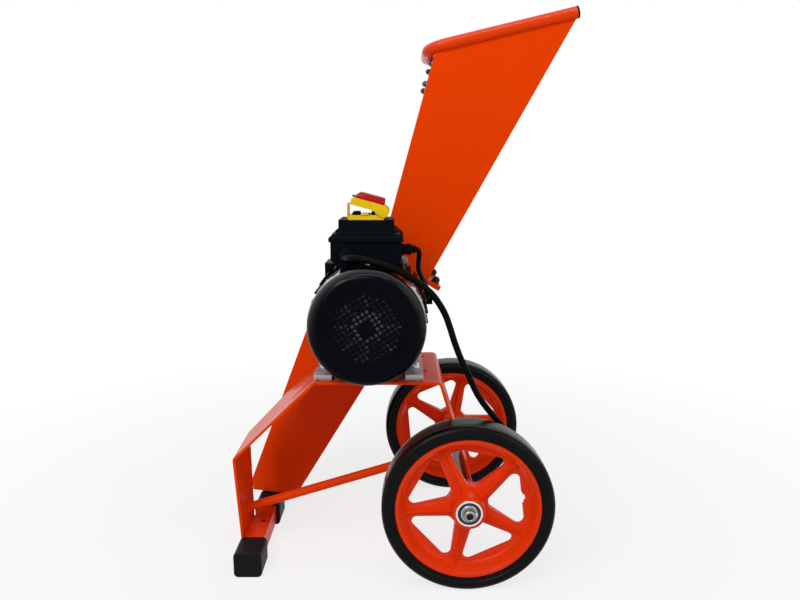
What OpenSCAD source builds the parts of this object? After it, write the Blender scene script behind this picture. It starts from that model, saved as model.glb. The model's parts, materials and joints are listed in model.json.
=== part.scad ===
// Compact electric garden shredder: motor on a bent plate stand, chipping rotor
// in a drum housing behind it, hopper above, discharge chute below, two wheels.
// X runs along the machine with the wheels at +X, Y points away from the motor
// fan, Z is up from the floor, and the origin lies under the middle of the part.

/* [Overall] */
// Length from the chute's lip to the ends of the handle tube
overall_length = 555; // [550:1:566]

/* [Wheels] */
// Diameter at which the tyre sits on the rim
rim_d = 214; // [206:1:220]
// Height of the tyre from the rim to the floor
tyre_h = 20; // [16:1:22]
// Width of a tyre
tyre_w = 50; // [42:1:52]
// Distance between the middles of the two wheels
track = 344; // [340:1:360]
// Distance of the axle behind the middle of the part
axle_x = 88; // [84:1:94]
// Thickness of the rim's outer band at the spokes
rim_band = 15; // [12:1:18]
// Thickness of the rim's outer band at its edges
rim_lip = 6; // [4:1:9]
// Width of the rim's outer band
rim_w = 44; // [38:1:46]
// Number of spokes in a rim
spoke_count = 5; // [4:1:6]
// Width of a spoke at the rim
spoke_w = 16; // [14:1:20]
// Width of a spoke at the hub
spoke_root_w = 25; // [22:1:28]
// Thickness of the spokes at the rim
spoke_t = 7; // [5:1:10]
// Thickness of the spokes at the hub
spoke_root_t = 20; // [16:1:26]
// Distance from the axle to the inner ends of the openings between spokes
window_in = 31; // [30:1:34]
// Distance from the axle to the straight outer edges of the openings between spokes
window_out = 81; // [76:1:82]
// Rounding of the outer corners of the openings between spokes
window_corner = 8.5; // [6:0.5:10]
// Height of the rib along each spoke
rib_h = 5; // [3:1:7]
// Width of the rib along each spoke
rib_w = 4; // [3:0.5:6]
// Diameter of the hub
hub_d = 48; // [46:1:54]
// Length of the hub
hub_w = 66; // [62:1:70]
// Outside diameter of a wheel bearing
bearing_d = 40; // [36:1:42]
// Width of a wheel bearing
bearing_w = 12; // [9:1:14]
// Diameter of the axle between the wheels
axle_d = 20; // [19:0.5:24]
// Diameter of the axle's ends in the bearings
axle_end_d = 17; // [15:0.5:18]
// Length of axle that shows outside a hub
axle_end_out = 10; // [8:1:14]

/* [Frame] */
// Thickness of the bent frame plate
plate_t = 4; // [3:0.5:5]
// Height of the motor plate's top above the floor
plate_z = 304; // [298:1:310]
// Width of the motor plate along the motor's axis
plate_w = 180; // [172:1:184]
// Place of the motor plate's middle along the motor's axis
plate_y = -52; // [-54:1:-50]
// Place of the bend at the front of the motor plate
front_bend_x = -140; // [-144:1:-136]
// Place of the bend at the rear of the motor plate
rear_bend_x = 50; // [46:1:54]
// Distance of the front leg's upper bend behind the chute's lip
leg_bend_in = 6.5; // [5.5:0.5:9.5]
// Angle of the slope below level
slope_angle = 45; // [43:1:47]
// Inner radius of the bends
bend_r = 4; // [2:1:6]
// Width of the plate at the lower bend
leg_top_w = 112; // [100:1:120]
// Width of the front leg at its lower end
leg_end_w = 78; // [70:1:84]
// Width of the rear leg at its lower end
rear_end_w = 120; // [100:1:140]
// Side of the square foot bar
bar_s = 30; // [26:1:34]
// Wall of the foot bar
bar_wall = 2; // [1.5:0.5:3]
// Length of the foot bar over its rubber caps
bar_l = 218; // [212:1:224]
// Distance of the foot bar's middle behind the chute's lip
bar_in = 33.5; // [31.5:0.5:35.5]
// Width of a rubber foot
foot_w = 43; // [40:1:46]
// Height of a rubber foot
foot_h = 40; // [38:1:44]
// Length of a rubber foot
foot_l = 51; // [44:1:51]
// Diameter of the brace tube
brace_d = 14; // [12:1:18]
// Wall of the brace tube
brace_wall = 1.5; // [1:0.5:2.5]
// Height of the brace where it meets the front leg
brace_z = 72; // [66:1:78]
// Rise of the brace towards the rear leg, in degrees
brace_angle = 17; // [16:0.5:18]
// Place of the brace along the motor's axis
brace_y = -62; // [-66:1:-56]

/* [Motor] */
// Distance of the motor's axis in front of the middle of the part
motor_x = -58.5; // [-60:0.5:-57]
// Height of the motor's axis above the plate
shaft_h = 90; // [89:0.5:92]
// Diameter of the fan cowl
cowl_d = 171; // [168:1:174]
// Length of the fan cowl
cowl_l = 86; // [84:1:87]
// Thickness of the cowl's sheet
cowl_t = 2; // [1.5:0.5:3]
// Rounding of the cowl's front edge
cowl_r = 10; // [6:1:14]
// Place of the cowl's front face along the axis
cowl_y = -192; // [-194:1:-191]
// Diameter over the cooling fins
fin_d = 180; // [176:1:182]
// Diameter of the motor body under the fins
body_d = 152; // [148:1:156]
// Bore of the motor body
body_bore = 128; // [124:1:132]
// Number of cooling fins in a full circle
fin_count = 36; // [30:2:40]
// Thickness of a cooling fin
fin_t = 3.5; // [2.5:0.5:5]
// Width of a motor foot
motor_foot_w = 27; // [25:1:29]
// Thickness of a motor foot
motor_foot_t = 8; // [6:1:10]
// Distance between the two rows of foot bolts
foot_pitch_x = 140; // [138:1:142]
// Distance between the bolts in a row
foot_pitch_y = 90; // [80:1:96]
// Diameter of the foot bolts
foot_bolt_d = 8; // [6:1:8]
// Diameter of the shaft in its bearings
shaft_d = 25; // [24:0.5:26]
// Diameter of the rotor core in the motor
core_d = 76; // [70:1:78]
// Gap between the rotor core and the stator
air_gap = 0.5; // [0.3:0.1:1]
// Outside diameter of a shaft bearing
shaft_bearing_d = 52; // [50:1:54]
// Width of a shaft bearing
shaft_bearing_w = 15; // [13:1:16]
// Diameter of the cooling fan
fan_d = 140; // [130:1:150]
// Number of blades on the cooling fan
fan_blades = 8; // [6:1:10]

/* [Switch box] */
// Width of the switch box
box_w = 106; // [100:1:108]
// Depth of the switch box along the motor's axis
box_d = 110; // [104:1:112]
// Place of the box's front along the motor's axis
box_y = -104; // [-106:1:-102]
// Place of the box's middle along the machine
box_x = -62; // [-64:1:-61]
// Height of the box's body
box_h = 42; // [40:1:48]
// Wall of the box and its lid
box_wall = 3; // [2:0.5:4]
// Height of the lid
lid_h = 29; // [27:1:34]
// Overhang of the lid's rim round the box
lid_lip = 2.5; // [1.5:0.5:4]
// Inset of the lid's top from its rim
lid_inset = 14; // [11:1:15]
// Cut on the box's lower corners
box_cut = 12; // [8:1:16]
// Diameter of the main cord
cord_d = 9.5; // [9:0.1:10]
// Diameter of the interlock cable
cable_d = 8; // [6:0.5:8]

/* [Stop switch] */
// Length of the yellow switch base
switch_l = 53; // [50:1:56]
// Depth of the yellow switch base
switch_w = 50; // [44:1:54]
// Height of the yellow switch base
switch_h = 7; // [6:0.5:8]
// Diameter of the start and stop buttons
button_d = 13; // [11:0.5:14]
// Travel of the start and stop buttons
button_travel = 3; // [2:0.5:3]
// Tilt of the flap as it stands in the photograph
flap_tilt = 15; // [13:0.5:16]

/* [Housing and rotor] */
// Outside diameter of the drum housing
drum_d = 178; // [176:1:180]
// Thickness of the drum's plates
drum_t = 4; // [3:0.5:5]
// Face of the housing against the motor, along the axis
housing_y = 46; // [44:1:48]
// Depth of the housing along the axis
housing_w = 132; // [126:1:134]
// Diameter of the circle of the blade tips
tip_d = 150; // [146:1:151]
// Diameter of the chipping rotor's body
rotor_d = 128; // [120:1:132]
// Diameter of the shaft in the chipping rotor
rotor_bore = 24; // [22:0.5:24]
// Thickness of a blade
blade_t = 6; // [5:0.5:8]
// Width of a blade
blade_w = 41; // [36:1:42]
// Side clearance of the rotor in the housing
rotor_gap = 4; // [3:0.5:6]

/* [Hopper] */
// Thickness of the hopper's sheet
sheet_t = 2.5; // [2:0.5:3]
// Tilt of the feed opening from level
feed_tilt = 31.3; // [30:0.1:33]
// Distance of the flange joint from the rotor's axis
flange_n = 76; // [76:0.5:78]
// Start of the feed opening, measured along the flange from the axis
feed_start = -30; // [-31:0.5:-28]
// End of the feed opening, measured along the flange from the axis
feed_end = 62.5; // [61:0.5:64]
// Width of the flange beyond the hopper's walls
flange_w = 26; // [24:1:28]
// Thickness of a flange
flange_t = 4; // [3:0.5:5]
// Lean of the hopper's front wall from upright
front_lean = 15.4; // [14.6:0.1:16.2]
// Lean of the hopper's rear wall from upright
rear_lean = 29.1; // [28.5:0.1:29.6]
// Height of the mouth at the front wall
mouth_z = 800; // [792:1:806]
// Tilt of the mouth from level
mouth_tilt = 13.1; // [12.5:0.1:13.8]
// Diameter of the handle tube
tube_d = 20; // [18:1:22]
// Wall of the handle tube
tube_wall = 2; // [1.5:0.5:3]
// Bend radius of the handle tube
tube_bend = 32; // [26:1:40]
// Length of the rubber flap in the hopper
curtain_l = 160; // [120:1:165]
// Thickness of the rubber flap
curtain_t = 3; // [2:0.5:4]

/* [Chute] */
// Thickness of the chute's sheet
chute_t = 2.5; // [2:0.5:3]
// Height of the chute's front lip
lip_z = 68; // [64:1:72]
// Height of the mouth's front edge
mouth_front_z = 47; // [46:1:50]
// Height of the mouth's rear edge
mouth_rear_z = 37; // [37:1:40]
// Length of the chute's mouth
mouth_l = 79; // [74:1:84]
// Lean of the chute's rear wall from upright
chute_lean = 31.5; // [31:0.1:32]

/* [Hidden] */
$fn = 64;

// Clearances
fit = 0.05;
gap = 0.3;
eps = 1;

// Colours
orange = "#f04400";
dark = "#1b1d20";
rubber = "#151515";
steel = "#b8bcc0";
alloy = "#a9adb0";
yellow = "#f2c80f";
red = "#b3121d";

// Wheels
tyre_d = rim_d + 2 * tyre_h;
axle_z = tyre_d / 2;
wheel_y = track / 2;
axle_half = wheel_y + hub_w / 2 + axle_end_out;
shoulder_y = wheel_y - hub_w / 2 - gap;
washer_t = 2;
washer_d = 24;
circlip_t = 1.2;
circlip_d = 22;
groove_d = axle_end_d - 1.6;
washer_y = wheel_y + hub_w / 2 + gap;
circlip_y = washer_y + washer_t + 0.1;

// Frame outline in the XZ plane, outer face from the front leg to the rear leg
half_l = overall_length / 2;
bar_x = -half_l + bar_in;
leg_bend_x = -half_l + leg_bend_in;
bar_z = foot_h / 2;
leg_bend_z = plate_z - (front_bend_x - leg_bend_x) * tan(slope_angle);
leg_end_z = bar_z - 6;
leg_end_x = bar_x - bar_s / 2 - plate_t;
rear_run = [axle_x - rear_bend_x, plate_z - axle_z];
rear_dist = norm(rear_run);
rear_lean_leg = atan2(rear_run.x, rear_run.y) + asin((axle_d / 2 + plate_t) / rear_dist);
rear_len = sqrt(rear_dist * rear_dist - pow(axle_d / 2 + plate_t, 2));
rear_over = 14;
rear_dir = [sin(rear_lean_leg), -cos(rear_lean_leg)];
weld_foot = [rear_bend_x, plate_z] + rear_dir * rear_len;
rear_end = weld_foot + rear_dir * rear_over;
frame_path = [[leg_end_x, leg_end_z], [leg_bend_x, leg_bend_z], [front_bend_x, plate_z],
              [rear_bend_x, plate_z], rear_end];
plate_y0 = plate_y - plate_w / 2;
plate_y1 = plate_y + plate_w / 2;
leg_top_y = plate_y - 9;
leg_end_y = plate_y - 16;
rear_end_y = plate_y;
bar_y0 = plate_y - bar_l / 2;
bar_y1 = plate_y + bar_l / 2;
cap_end_t = 4;

// Motor along Y
shaft_z = plate_z + shaft_h;
cowl_y1 = cowl_y + cowl_l;
body_y0 = cowl_y1 + 4;
body_y1 = 18;
shield_t = 26;
motor_foot_y0 = plate_y0 + 10;
motor_foot_y1 = body_y1 + 6;
foot_mid_y = -36;
motor_foot_out = foot_pitch_x / 2 + 12;
body_r = body_d / 2;
core_y0 = -82;
core_y1 = -2;
winding_l = 12;
fan_y0 = cowl_y + 22;
fan_y1 = fan_y0 + 34;
fan_bore = 20;
shaft_y0 = fan_y0 - 4;
bearing_near_y = body_y0 - shield_t;
bearing_far_y = body_y1 + 4;
flange_screw_x = 44;
flange_screw_z = 48;
pedestal_front = 71.5;
pedestal_rear = 50;
pedestal_y0 = -44;
box_z = shaft_z + 75;
lid_z = box_z + box_h;
lid_top = lid_z + lid_h;
box_x0 = box_x - box_w / 2;
box_x1 = box_x + box_w / 2;
box_y1 = box_y + box_d;
screw_seat = 7.5;
gland_x = -90;
gland_z = box_z + 20;
gland_l = 22;
cable_gland_y = -40;
cable_gland_z = box_z + 22;

// Stop switch
switch_x0 = box_x - switch_l / 2;
switch_x1 = box_x + switch_l / 2;
switch_y0 = box_y + lid_inset - lid_lip;
switch_y1 = switch_y0 + switch_w;
switch_top = lid_top + switch_h;
pin_x = switch_x1 - 1;
pin_z = switch_top + 4.5;
pin_d = 4;
ear_w = 6;
pad_h = 10;
button_out = 2;
start_y = switch_y0 + switch_w * 0.68;
stop_y = switch_y0 + switch_w * 0.32;
button_x = switch_x0 + switch_l * 0.48;

// Drum, feed frame and rotor
drum_r = drum_d / 2;
housing_y1 = housing_y + housing_w;
rotor_y0 = housing_y + drum_t + rotor_gap;
rotor_y1 = housing_y1 - drum_t - rotor_gap;
shaft_y1 = rotor_y1 - 22;
blade_in = tip_d / 2 - blade_w;
motor_axis = [motor_x, shaft_z];
cover_angles = [112, 150, 320, 350];
ear_r = 9;
ear_out = drum_r + 5;

// Hopper corners in the XZ plane
feed_d = [cos(feed_tilt), -sin(feed_tilt)];
feed_n = [sin(feed_tilt), cos(feed_tilt)];
front_foot = motor_axis + feed_d * feed_start + feed_n * flange_n;
rear_foot = motor_axis + feed_d * feed_end + feed_n * flange_n;
front_dir = [sin(front_lean), cos(front_lean)];
rear_wall_dir = [sin(rear_lean), cos(rear_lean)];
mouth_dir = [cos(mouth_tilt), sin(mouth_tilt)];
front_top = front_foot + front_dir * ((mouth_z - front_foot.y) / front_dir.y);
rear_top = rear_foot + rear_wall_dir * meet(rear_foot, rear_wall_dir, front_top, mouth_dir);
hopper_y0 = housing_y;
hopper_y1 = housing_y1;
tube_y0 = hopper_y0 + sheet_t / 2;
tube_y1 = hopper_y1 - sheet_t / 2;
cap_t = 3;
tube_base = front_top + [-sin(mouth_tilt), cos(mouth_tilt)] * (tube_d / 2);
tube_front = -8;
tube_reach = (half_l - tube_base.x - tube_d / 2 * sin(mouth_tilt)) / cos(mouth_tilt) - cap_t;
clamp_t = 3;
clamp_l = 62;
clamp_drop = 4;
front_in = [cos(front_lean), -sin(front_lean)];
bolt_rows = [14, 48];
bolt_inset = 17;
bead_d = 6;
curtain_side = 4;
clamp_foot = front_top - front_dir * (clamp_drop + clamp_l) + front_in * sheet_t;
hinge_at = clamp_foot + front_in * (bead_d / 2) - front_dir * (bead_d / 2 + gap);

// Chute corners in the XZ plane
tip = [-half_l, lip_z];
tip_low = [-half_l + 1, mouth_front_z];
rear_low = [-half_l + mouth_l, mouth_rear_z];
to_axis = motor_axis - tip;
tangent_angle = atan2(to_axis.y, to_axis.x) + asin(drum_r / norm(to_axis));
front_touch = tip + [cos(tangent_angle), sin(tangent_angle)] * sqrt(to_axis * to_axis - drum_r * drum_r);
chute_dir = [sin(chute_lean), cos(chute_lean)];
chute_rear_l = 326;
rear_up = rear_low + chute_dir * chute_rear_l;

// Main cord: from the gland over the cowl, then down behind the near wheel
cord_route = [
    [-90, -126, 489], [-90, -133, 489], [-88, -143, 489], [-83, -153, 490], [-75, -161, 491],
    [-64, -167, 490], [-50, -170, 487], [-33, -171, 481.5], [-15, -171, 474.5], [2, -170, 465.5],
    [18, -169, 454.5], [32, -167, 442], [43, -165, 428], [53, -162, 410], [60, -159, 391],
    [67, -155, 369], [76, -151, 345], [87, -147, 321], [100, -143, 292], [112, -140, 272],
    [127, -137, 252], [144, -133, 231], [162, -129, 207], [178, -126, 180], [189, -124, 152],
    [195, -123, 131], [197, -123, 118], [197, -123, 112]
];
plug_at = cord_route[len(cord_route) - 1];
plug_w = 34;
plug_thick = 24;
plug_l = 38;
relief_l = 22;

// Interlock cable: from the side gland down to the switch under the flange
cable_route = [
    [13, -40, 491], [14, -40, 491], [17.5, -40, 489], [19, -39, 482], [18, -35.5, 470], [18, -30, 460],
    [20.5, -20, 451], [24.5, -8, 441], [29, 4, 431], [32.5, 12, 421], [35, 16, 411], [35, 19, 405.5],
    [34.5, 22.5, 403], [34.5, 26, 403]
];
interlock_at = [34.5, 26, 403];

// Geometry helpers

// Distance along the first line at which it meets the second
function meet(p, u, q, v) = ((q.x - p.x) * v.y - (q.y - p.y) * v.x) / (u.x * v.y - u.y * v.x);

function unit(v) = v / norm(v);

// Points of the arc that rounds corner b between a and c
function corner_arc(a, b, c, r, n = 5) =
    let (u = unit(a - b), v = unit(c - b), half = acos(max(-1, min(1, u * v))) / 2,
         mid = b + unit(u + v) * r / sin(half), p = b + u * r / tan(half),
         turn = cross(b - a, c - b) > 0 ? 1 : -1,
         a0 = atan2(p.y - mid.y, p.x - mid.x))
    [for (i = [0:n]) mid + r * [cos(a0 + turn * i / n * (180 - 2 * half)),
                                sin(a0 + turn * i / n * (180 - 2 * half))]];

// Closed outline with every corner rounded
function rounded(pts, r, n = 5) =
    let (k = len(pts))
    [for (i = [0:k - 1]) each corner_arc(pts[(i + k - 1) % k], pts[i], pts[(i + 1) % k], r, n)];

// Rectangle given by its middle and size
function frame_of(mid, size) =
    [for (s = [[-1, -1], [1, -1], [1, 1], [-1, 1]]) mid + [s.x * size.x / 2, s.y * size.y / 2]];

// Normal on the right of a direction
function right_of(u) = [u.y, -u.x];

// Open path moved to its right by t, with mitred corners
function moved(path, t) =
    let (k = len(path))
    [for (i = [0:k - 1])
        let (u = unit(path[min(i + 1, k - 1)] - path[min(i, k - 2)]),
             w = unit(path[max(i, 1)] - path[max(i - 1, 0)]),
             m = unit(right_of(u) + right_of(w)))
        path[i] + m * t / (m * right_of(u))];

// Open path with its inner corners rounded
function bent(path, r) =
    let (k = len(path))
    concat([path[0]], [for (i = [1:k - 2]) each corner_arc(path[i - 1], path[i], path[i + 1], r, 4)],
           [path[k - 1]]);

function reversed(list) = [for (i = [len(list) - 1:-1:0]) list[i]];

// Extrude an XZ outline along Y
module along_y(y0, y1) {
    translate([0, y1, 0])
        rotate([90, 0, 0])
            linear_extrude(y1 - y0)
                children();
}

// Round bar along Y
module rod_y(x, z, d, y0, y1) {
    translate([x, y1, z])
        rotate([90, 0, 0])
            cylinder(d = d, h = y1 - y0);
}

// Turn a radius and Y profile about an axis along Y
module turned_y(x, z) {
    translate([x, 0, z])
        rotate([-90, 0, 0])
            rotate_extrude($fn = 96)
                children();
}

module block(low, high) {
    translate(low)
        cube(high - low);
}

// Frame whose X runs along the flange and whose Z points up the hopper
module feed_frame() {
    translate([motor_x, 0, shaft_z])
        rotate([0, feed_tilt, 0])
            children();
}

// Frame on the outside of the hopper's front wall, Z pointing outwards
module front_wall(along) {
    translate([front_top.x - front_dir.x * along, 0, front_top.y - front_dir.y * along])
        rotate([0, -90 + front_lean, 0])
            children();
}

// Tube swept along points with rings square to the route
module swept(route, d, sides = 10) {
    k = len(route);
    rings = [for (i = [0:k - 1])
        let (t = unit(route[min(i + 1, k - 1)] - route[max(i - 1, 0)]),
             side = unit(cross(t, abs(t.z) > 0.9 ? [0, 1, 0] : [0, 0, 1])),
             top = cross(side, t))
        [for (j = [0:sides - 1]) route[i] + d / 2 * (side * cos(360 * j / sides) + top * sin(360 * j / sides))]];
    points = [for (r = rings) each r];
    walls = [for (i = [0:k - 2], j = [0:sides - 1])
        let (a = i * sides + j, b = i * sides + (j + 1) % sides)
        each [[a, a + sides, b], [b, a + sides, b + sides]]];
    polyhedron(points, concat([[for (j = [0:sides - 1]) j]], walls,
               [[for (j = [sides - 1:-1:0]) (k - 1) * sides + j]]));
}

// Hexagon bolt along +Z with its head's underside at the origin
module hex_bolt(d, len, head = 1.7) {
    cylinder(d = d * head, h = d * 0.65, $fn = 6);
    translate([0, 0, -len])
        cylinder(d = d, h = len);
}

// Frame

module frame_strip() {
    polygon(concat(bent(frame_path, bend_r + plate_t),
                   reversed(bent(moved(frame_path, plate_t), bend_r))));
}

// Half of the plate's width is cut away from the upper to the lower edge
module slope_cut(side) {
    y_top = side < 0 ? plate_y0 : plate_y1;
    y_low = leg_top_y + side * leg_top_w / 2;
    y_out = plate_y + side * plate_w;
    translate([0, 0, axle_z])
        linear_extrude(plate_z)
            polygon([[front_bend_x, y_top], [leg_bend_x, y_low], [-half_l - 20, y_low],
                     [-half_l - 20, y_out], [front_bend_x, y_out]]);
}

module leg_cut(side, x0, x1, z_top, z_end, y_top, y_end) {
    y_out = plate_y + side * plate_w;
    translate([x0, 0, 0])
        rotate([90, 0, 90])
            linear_extrude(x1 - x0)
                polygon([[y_top, z_top], [y_end, z_end], [y_end, -5], [y_out, -5], [y_out, z_top]]);
}

module slot_x(x, y, w, l) {
    for (s = [-1, 1])
        translate([x + s * (l - w) / 2, y, plate_z - plate_t - eps])
            cylinder(d = w, h = plate_t + 2 * eps);
    block([x - (l - w) / 2, y - w / 2, plate_z - plate_t - eps],
          [x + (l - w) / 2, y + w / 2, plate_z + eps]);
}

module frame_plate() {
    slot_w = foot_bolt_d + 1;
    slot_l = 36;
    weld = 6;
    color(orange)
    difference() {
        union() {
            along_y(plate_y0, plate_y1)
                frame_strip();
            along_y(rear_end_y - rear_end_w / 2 + 8, rear_end_y + rear_end_w / 2 - 8)
                translate(weld_foot)
                    rotate(rear_lean_leg)
                        translate([-plate_t - weld, -weld])
                            square([weld + plate_t / 2, 2 * weld]);
        }
        for (side = [-1, 1]) {
            slope_cut(side);
            leg_cut(side, -half_l - 30, front_bend_x - 60, leg_bend_z, leg_end_z,
                    leg_top_y + side * leg_top_w / 2, leg_end_y + side * leg_end_w / 2);
            leg_cut(side, rear_bend_x, half_l, plate_z - bend_r - plate_t, rear_end.y,
                    side < 0 ? plate_y0 : plate_y1, rear_end_y + side * rear_end_w / 2);
            for (row = [-1, 1])
                slot_x(motor_x + side * foot_pitch_x / 2, foot_mid_y + row * foot_pitch_y / 2,
                       slot_w, slot_l);
        }
        rod_y(axle_x, axle_z, axle_d, -axle_half, axle_half);
        block([bar_x - bar_s / 2, bar_y0, bar_z - bar_s / 2], [bar_x + bar_s / 2, bar_y1, bar_z + bar_s / 2]);
    }
}

module foot_bar() {
    color(orange)
    difference() {
        block([bar_x - bar_s / 2, bar_y0 + cap_end_t, bar_z - bar_s / 2],
              [bar_x + bar_s / 2, bar_y1 - cap_end_t, bar_z + bar_s / 2]);
        block([bar_x - bar_s / 2 + bar_wall, bar_y0, bar_z - bar_s / 2 + bar_wall],
              [bar_x + bar_s / 2 - bar_wall, bar_y1, bar_z + bar_s / 2 - bar_wall]);
        translate([bar_x + 4, plate_y + 6, bar_z])
            cylinder(d = 8, h = bar_s);
    }
}

module rubber_cap(y0, y1) {
    color(rubber)
    difference() {
        along_y(y0, y1)
            polygon(rounded(frame_of([bar_x, bar_z], [foot_w, foot_h]), 7));
        block([bar_x - bar_s / 2, bar_y0 + cap_end_t, bar_z - bar_s / 2],
              [bar_x + bar_s / 2, bar_y1 - cap_end_t, bar_z + bar_s / 2]);
    }
}

module near_foot() {
    rubber_cap(bar_y0, bar_y0 + foot_l);
}

module far_foot() {
    rubber_cap(bar_y1 - foot_l, bar_y1);
}

module brace_tube() {
    inside = moved(frame_path, plate_t);
    color(orange)
    intersection() {
        translate([bar_x - 40, brace_y, brace_z - 40 * tan(brace_angle)])
            rotate([0, 90 - brace_angle, 0])
                difference() {
                    cylinder(d = brace_d, h = overall_length);
                    translate([0, 0, -eps])
                        cylinder(d = brace_d - 2 * brace_wall, h = overall_length + 2 * eps);
                }
        along_y(brace_y - brace_d, brace_y + brace_d)
            polygon(inside);
    }
}

// Wheels

module axle() {
    color(steel)
    difference() {
        union() {
            rod_y(axle_x, axle_z, axle_d, -shoulder_y, shoulder_y);
            rod_y(axle_x, axle_z, axle_end_d, -axle_half, axle_half);
        }
        for (side = [-1, 1])
            difference() {
                rod_y(axle_x, axle_z, axle_end_d + 2, side * circlip_y - (side < 0 ? circlip_t : 0),
                      side * circlip_y + (side > 0 ? circlip_t : 0));
                rod_y(axle_x, axle_z, groove_d, -axle_half, axle_half);
            }
    }
}

module tyre(y) {
    shoulder = 9;
    r0 = rim_d / 2;
    r1 = tyre_d / 2;
    color(rubber)
        turned_y(axle_x, axle_z)
            polygon(concat([[r0, y + tyre_w / 2 - 4], [r0, y - tyre_w / 2 + 4]],
                    corner_arc([r0, y - tyre_w / 2], [r1, y - tyre_w / 2], [r1, y], shoulder),
                    corner_arc([r1, y], [r1, y + tyre_w / 2], [r0, y + tyre_w / 2], shoulder)));
}

// Opening between two spokes, about an axis along +X in the wheel's plane
module spoke_window() {
    half_angle = 180 / spoke_count;
    nose_corner = 4;
    start = max(window_in, (spoke_root_w / 2 + nose_corner * cos(half_angle)) / sin(half_angle));
    nose = (start * sin(half_angle) - spoke_root_w / 2) / cos(half_angle);
    reach = (window_out * sin(half_angle) - spoke_w / 2) / cos(half_angle);
    near = [start, -nose];
    low = [window_out, -reach];
    high = [window_out, reach];
    far = [start, nose];
    polygon(concat(corner_arc(far, near, low, nose_corner), corner_arc(near, low, high, window_corner),
                   corner_arc(low, high, far, window_corner), corner_arc(high, far, near, nose_corner)));
}

// One side of the rim's section in radius and distance from its middle, from the hub's bore outwards
function rim_half(side) = [
    [bearing_d / 2 - 3, side * (hub_w / 2 - bearing_w)],
    [bearing_d / 2, side * (hub_w / 2 - bearing_w)],
    [bearing_d / 2, side * hub_w / 2],
    [hub_d / 2, side * hub_w / 2],
    [hub_d / 2, side * spoke_root_t / 2],
    [rim_d / 2 - rim_band, side * spoke_t / 2],
    [rim_d / 2 - rim_lip, side * rim_w / 2],
    [rim_d / 2, side * rim_w / 2]
];

// Rib along one spoke, on both of its sides
module spoke_rib() {
    root = hub_d / 2 - 2;
    tip = rim_d / 2 - rim_band + 3;
    root_h = spoke_root_t / 2 + rib_h;
    tip_h = spoke_t / 2 + rib_h;
    translate([0, 0, -rib_w / 2])
        linear_extrude(rib_w)
            polygon([[root, -root_h], [tip, -tip_h], [tip, tip_h], [root, root_h]]);
}

module rim(y, turn) {
    upper = rim_half(1);
    color(orange)
    difference() {
        union() {
            turned_y(axle_x, axle_z)
                translate([0, y])
                    polygon(concat(rim_half(-1), [for (i = [len(upper) - 1:-1:0]) upper[i]]));
            for (k = [0:spoke_count - 1])
                translate([axle_x, y, axle_z])
                    rotate([0, turn + k * 360 / spoke_count, 0])
                        spoke_rib();
        }
        for (k = [0:spoke_count - 1])
            translate([axle_x, 0, axle_z])
                rotate([0, turn + (k + 0.5) * 360 / spoke_count, 0])
                    along_y(y - rim_w, y + rim_w)
                        spoke_window();
    }
}

module wheel_bearings(y) {
    color(steel)
    for (start = [y - hub_w / 2, y + hub_w / 2 - bearing_w])
        difference() {
            rod_y(axle_x, axle_z, bearing_d, start, start + bearing_w);
            rod_y(axle_x, axle_z, axle_end_d + 2 * fit, start - eps, start + bearing_w + eps);
        }
}

module near_tyre() {
    tyre(-wheel_y);
}

module near_rim() {
    rim(-wheel_y, -43);
}

module near_bearings() {
    wheel_bearings(-wheel_y);
}

module far_tyre() {
    tyre(wheel_y);
}

module far_rim() {
    rim(wheel_y, -77);
}

module far_bearings() {
    wheel_bearings(wheel_y);
}

module axle_washers() {
    color(steel)
    for (side = [-1, 1])
        difference() {
            rod_y(axle_x, axle_z, washer_d, side * washer_y - (side < 0 ? washer_t : 0),
                  side * washer_y + (side > 0 ? washer_t : 0));
            rod_y(axle_x, axle_z, axle_end_d, -axle_half - eps, axle_half + eps);
        }
}

module circlips() {
    color("dimgray")
    for (side = [-1, 1])
        difference() {
            rod_y(axle_x, axle_z, circlip_d, side * circlip_y - (side < 0 ? circlip_t : 0),
                  side * circlip_y + (side > 0 ? circlip_t : 0));
            rod_y(axle_x, axle_z, groove_d, -axle_half - eps, axle_half + eps);
            block([axle_x, -axle_half, axle_z - 3], [axle_x + circlip_d, axle_half, axle_z + 3]);
        }
}

// Motor

module motor_body() {
    color(dark)
    difference() {
        union() {
            rod_y(motor_x, shaft_z, body_d, body_y0, body_y1);
            for (k = [0:fin_count - 1])
                let (a = (k + 0.5) * 360 / fin_count)
                if (a < 230 || a > 310)
                    translate([motor_x, 0, shaft_z])
                        rotate([0, -a, 0])
                            block([body_r - 4, body_y0 + 1, -fin_t / 2], [fin_d / 2, body_y1 - 1, fin_t / 2]);
            block([motor_x - pedestal_front, pedestal_y0, shaft_z + body_r * 0.45],
                  [motor_x + pedestal_rear, body_y1, box_z]);
        }
        block([motor_x - fin_d, body_y0 - eps, box_z], [motor_x + fin_d, body_y1 + eps, box_z + fin_d]);
        rod_y(motor_x, shaft_z, body_bore, body_y0 - eps, body_y1 + eps);
        for (side = [-1, 1])
            block([motor_x + side * motor_foot_out - 40, body_y0 - 40, plate_z - eps],
                  [motor_x + side * motor_foot_out + 40, body_y1 + 40, plate_z + motor_foot_t]);
    }
}

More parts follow.
